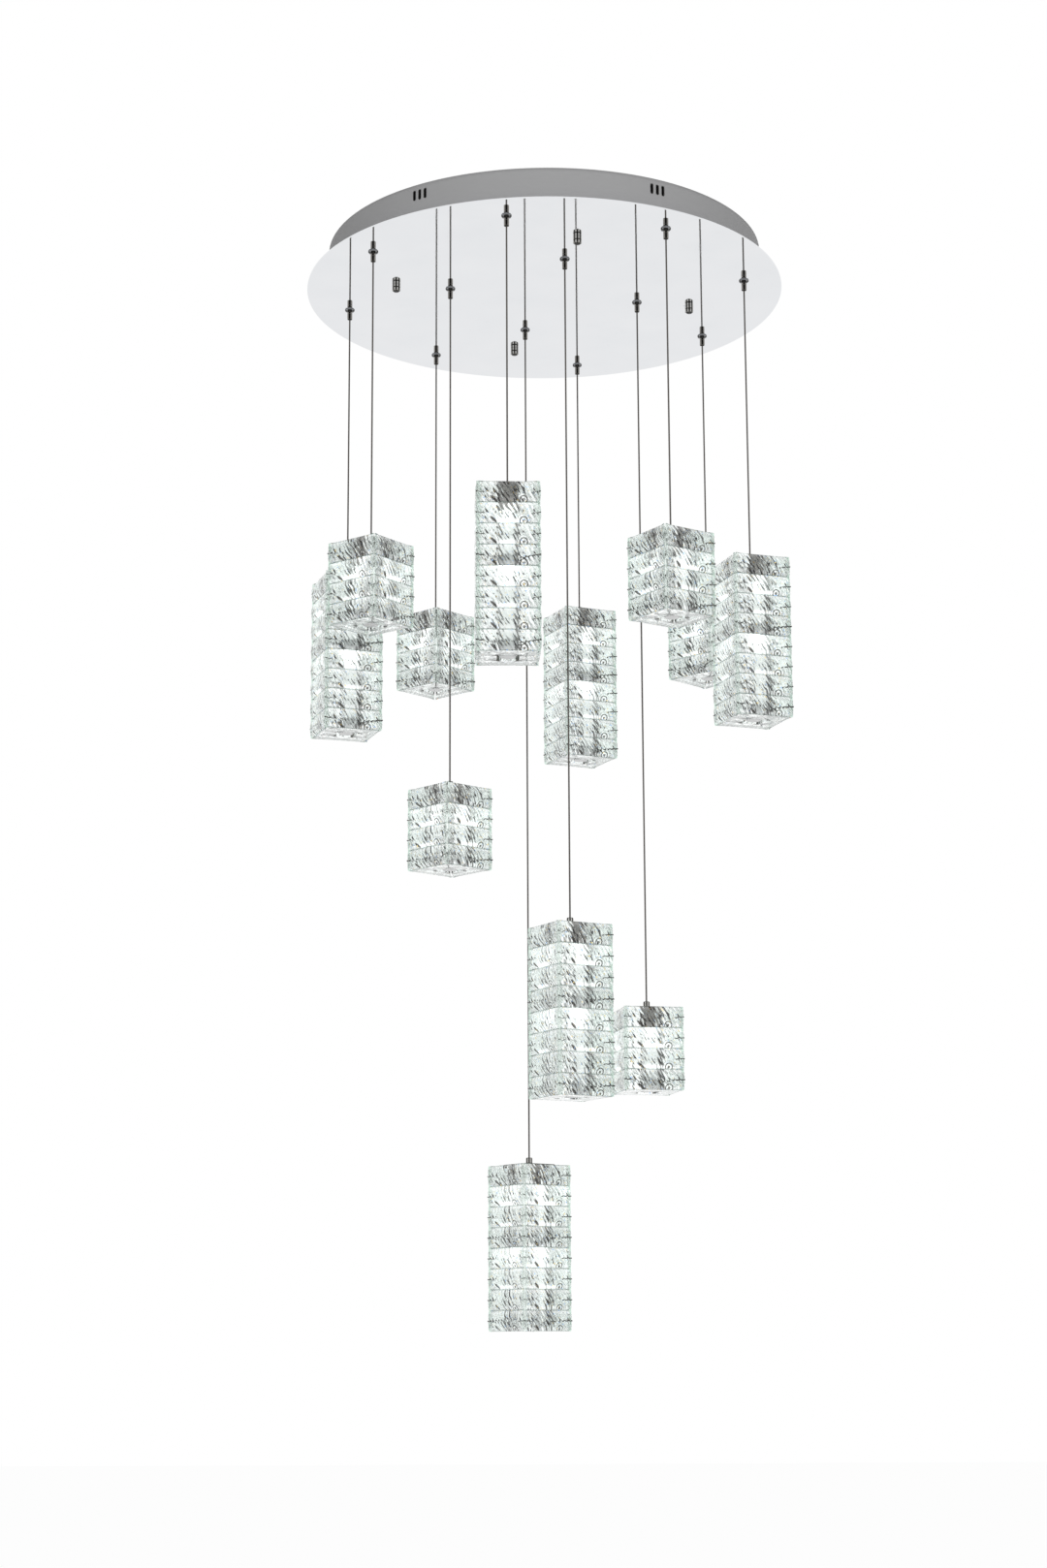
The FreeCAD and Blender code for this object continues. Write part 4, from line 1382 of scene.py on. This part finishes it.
@dataclass(frozen=True)
class Studio:
    """White studio: a pale floor, a ceiling patch of painted shade in the drum's mouth, soft lamps, and the
    photograph's camera.

    A soft box is (name, place in metres, side in metres, watts). All point at the same middle of the lamp.
    """

    focal: float = 2834.0
    stand: tuple[float, float, float] = (-29.2, -3287.0, -1372.0)
    tilt: float = 11.83
    roll: float = -0.26
    sight: float = 60.0
    world_light: float = 0.45
    floor_height: float = -2400.0
    floor_reach: float = 25.0
    floor_white: float = 0.97
    floor_colour: str = "#f2f2f0"
    ceiling_radius: float = 271.5
    ceiling_height: float = 0.5
    painted_shade_colour: str = "#0c0c0c"
    boxes: tuple[tuple, ...] = (
        ("key", (0.3, -3.7, -0.2), 1.8, 70.0),
        ("fill", (2.8, -1.8, -0.6), 1.6, 1.2),
        ("back", (-0.3, 3.7, 0.2), 1.8, 40.0),
    )
    target: tuple[float, float, float] = (0, 0, -0.6)

    def camera(self) -> None:
        """Sets the camera where the photograph's stood: it looks along +Y, tilted up and rolled a little."""
        tilt, roll = math.radians(self.tilt), math.radians(self.roll)
        forward = Vector((0, math.cos(tilt), math.sin(tilt)))
        level = Vector((1, 0, 0))
        rise = level.cross(forward)
        right = math.cos(roll) * level + math.sin(roll) * rise
        up = math.cos(roll) * rise - math.sin(roll) * level
        data = bpy.data.cameras.new("camera")
        data.sensor_width = SENSOR
        data.lens = self.focal / IMAGE_HEIGHT * SENSOR
        data.clip_end = self.sight
        eye = placed_object("camera", data)
        turn = Matrix((right, up, -forward)).transposed().to_4x4()
        eye.matrix_world = Matrix.Translation(Vector(self.stand) * MM) @ turn
        bpy.context.scene.camera = eye

    def cleared(self, owner: bpy.types.World | bpy.types.Material) -> bpy.types.NodeTree:
        """The node tree of a world or a stage material, with nothing in it.

        Args:
            owner: the world or material.

        Returns:
            The tree.
        """
        owner.use_nodes = True
        owner.node_tree.nodes.clear()
        return owner.node_tree

    def seen(self, tree: bpy.types.NodeTree) -> bpy.types.Node:
        """What is 1 for rays from the camera, from gloss and through glass, and 0 for the rest.

        Args:
            tree: the node tree.

        Returns:
            The node.
        """
        path = add(tree, "LightPath").outputs
        first = add(tree, "Math", {0: path["Is Camera Ray"], 1: path["Is Glossy Ray"]}, operation="MAXIMUM")
        return add(tree, "Math", {0: first, 1: path["Is Transmission Ray"]}, operation="MAXIMUM")

    def world(self) -> None:
        """White to the eye, in gloss and through glass, and a plain soft light on everything."""
        world = bpy.data.worlds.new("studio")
        bpy.context.scene.world = world
        tree = self.cleared(world)
        seen = add(tree, "Background", {"Color": WHITE, "Strength": 1.0})
        light = add(tree, "Background", {"Color": WHITE, "Strength": self.world_light})
        mixed = add(tree, "MixShader", {0: self.seen(tree), 1: light, 2: seen})
        add(tree, "OutputWorld", {"Surface": mixed})

    def floor(self) -> None:
        """A pale floor that keeps a soft shadow."""
        material = bpy.data.materials.new("pale_floor")
        tree = self.cleared(material)
        matt = add(tree, "BsdfDiffuse", {"Color": linear(self.floor_colour)})
        white = add(tree, "Emission", {"Color": WHITE, "Strength": 1.0})
        share = add(tree, "Math", {0: self.seen(tree), 1: self.floor_white}, operation="MULTIPLY")
        mixed = add(tree, "MixShader", {0: share, 1: matt, 2: white})
        add(tree, "OutputMaterial", {"Surface": mixed})
        reach, height = self.floor_reach, self.floor_height * MM
        corners = [(-reach, -reach, height), (reach, -reach, height), (reach, reach, height), (-reach, reach, height)]
        self.sheet("floor", corners, material)

    def ceiling(self) -> None:
        """A patch of ceiling inside the drum's mouth, painted shade for the drum's dark inside: dark to the camera from
        below, and clear from above and to all other rays, so that views see in.
        """
        material = bpy.data.materials.new("ceiling_painted_shade")
        tree = self.cleared(material)
        above = add(tree, "NewGeometry").outputs["Backfacing"]
        seen = add(tree, "LightPath").outputs["Is Camera Ray"]
        shown = add(tree, "Math", {0: seen, 1: above}, operation="SUBTRACT", use_clamp=True)
        # Painted shade for the inside of the drum, seen only by the camera from below.
        dark = add(tree, "Emission", {"Color": linear(self.painted_shade_colour), "Strength": 1.0})
        mixed = add(tree, "MixShader", {0: shown, 1: add(tree, "BsdfTransparent"), 2: dark})
        add(tree, "OutputMaterial", {"Surface": mixed})
        rim = (self.ceiling_radius * circle(96)[::-1] + self.ceiling_height * UP) * MM
        self.sheet("ceiling_painted_shade", rim.tolist(), material)

    def sheet(self, name: str, corners: list, material: bpy.types.Material) -> None:
        """A flat stage piece.

        Args:
            name: of the piece.
            corners: its corners in metres.
            material: its material.
        """
        mesh = bpy.data.meshes.new(name)
        mesh.from_pydata(corners, [], [list(range(len(corners)))])
        mesh.materials.append(material)
        made = placed_object(name, mesh)

    def lamps(self) -> None:
        """Three soft boxes: one in front of the lamp, a weak one at its right and one behind it."""
        for name, place, size, power in self.boxes:
            data = bpy.data.lights.new(name, "AREA")
            data.size = size
            data.energy = power
            lamp = placed_object(name, data)
            lamp.visible_glossy = False
            lamp.visible_transmission = False
            lamp.location = place
            lamp.rotation_euler = (Vector(self.target) - Vector(place)).to_track_quat("-Z", "Y").to_euler()

    def build(self) -> None:
        """Sets up the whole studio."""
        bpy.context.scene.view_settings.view_transform = "Standard"
        self.camera()
        self.world()
        self.floor()
        self.ceiling()
        self.lamps()


# ---- The lamp -------------------------------------------------------------------------------------------------

# Each circle of shades: its name, radius, first angle and first two reaches, and each shade's drop and corner angle
CIRCLES = (
    (
        "outer", 254.0, -10.5, (Reach.TALL, Reach.SHORT),
        (
            (367.0, -26.0), (367.5, 1.8), (351.0, -21.0), (364.5, 2.9),
            (360.0, -26.5), (372.0, 7.6), (339.0, -43.0), (382.0, -10.6),
        ),
    ),
    (
        "inner", 121.0, 11.6, (Reach.SHORT, Reach.TALL),
        ((908.5, -33.6), (1089.0, -7.5), (645.0, -2.4), (828.0, -16.3)),
    ),
)


def hung() -> list[Pendant]:
    """The pendants, tall and short in turn round each circle.

    Returns:
        The outer ones and then the inner ones.
    """
    made = []
    for circle_name, radius, start, reaches, shades in CIRCLES:
        places = circle_places(radius, start, len(shades))
        for k, (place, (drop, corner)) in enumerate(zip(places, shades)):
            made.append(Pendant(f"{circle_name}_{k + 1}", reaches[k % 2], drop, corner, place))
    return made


def main() -> None:
    logging.basicConfig(level=logging.INFO, format="%(message)s")
    dresser = Dresser()
    chance = np.random.default_rng(SEED)
    pendants = hung()
    Studio().build()
    for pendant in pendants:
        pendant.build(dresser, chance)
    Canopy().build(dresser)
    grip = Grip()
    for name, shape, finish, node in (
        ("notched_bushes", grip.bush(), FLANGE, "grip_bushes"),
        ("fluted_barrels", grip.barrel(), BARREL, "grip_barrels"),
    ):
        surface = joined([shape.moved((*pendant.place, 0)) for pendant in pendants])
        dresser.piece(name, surface, finish, "canopy", (node,))


if __name__ == "__main__":
    main()
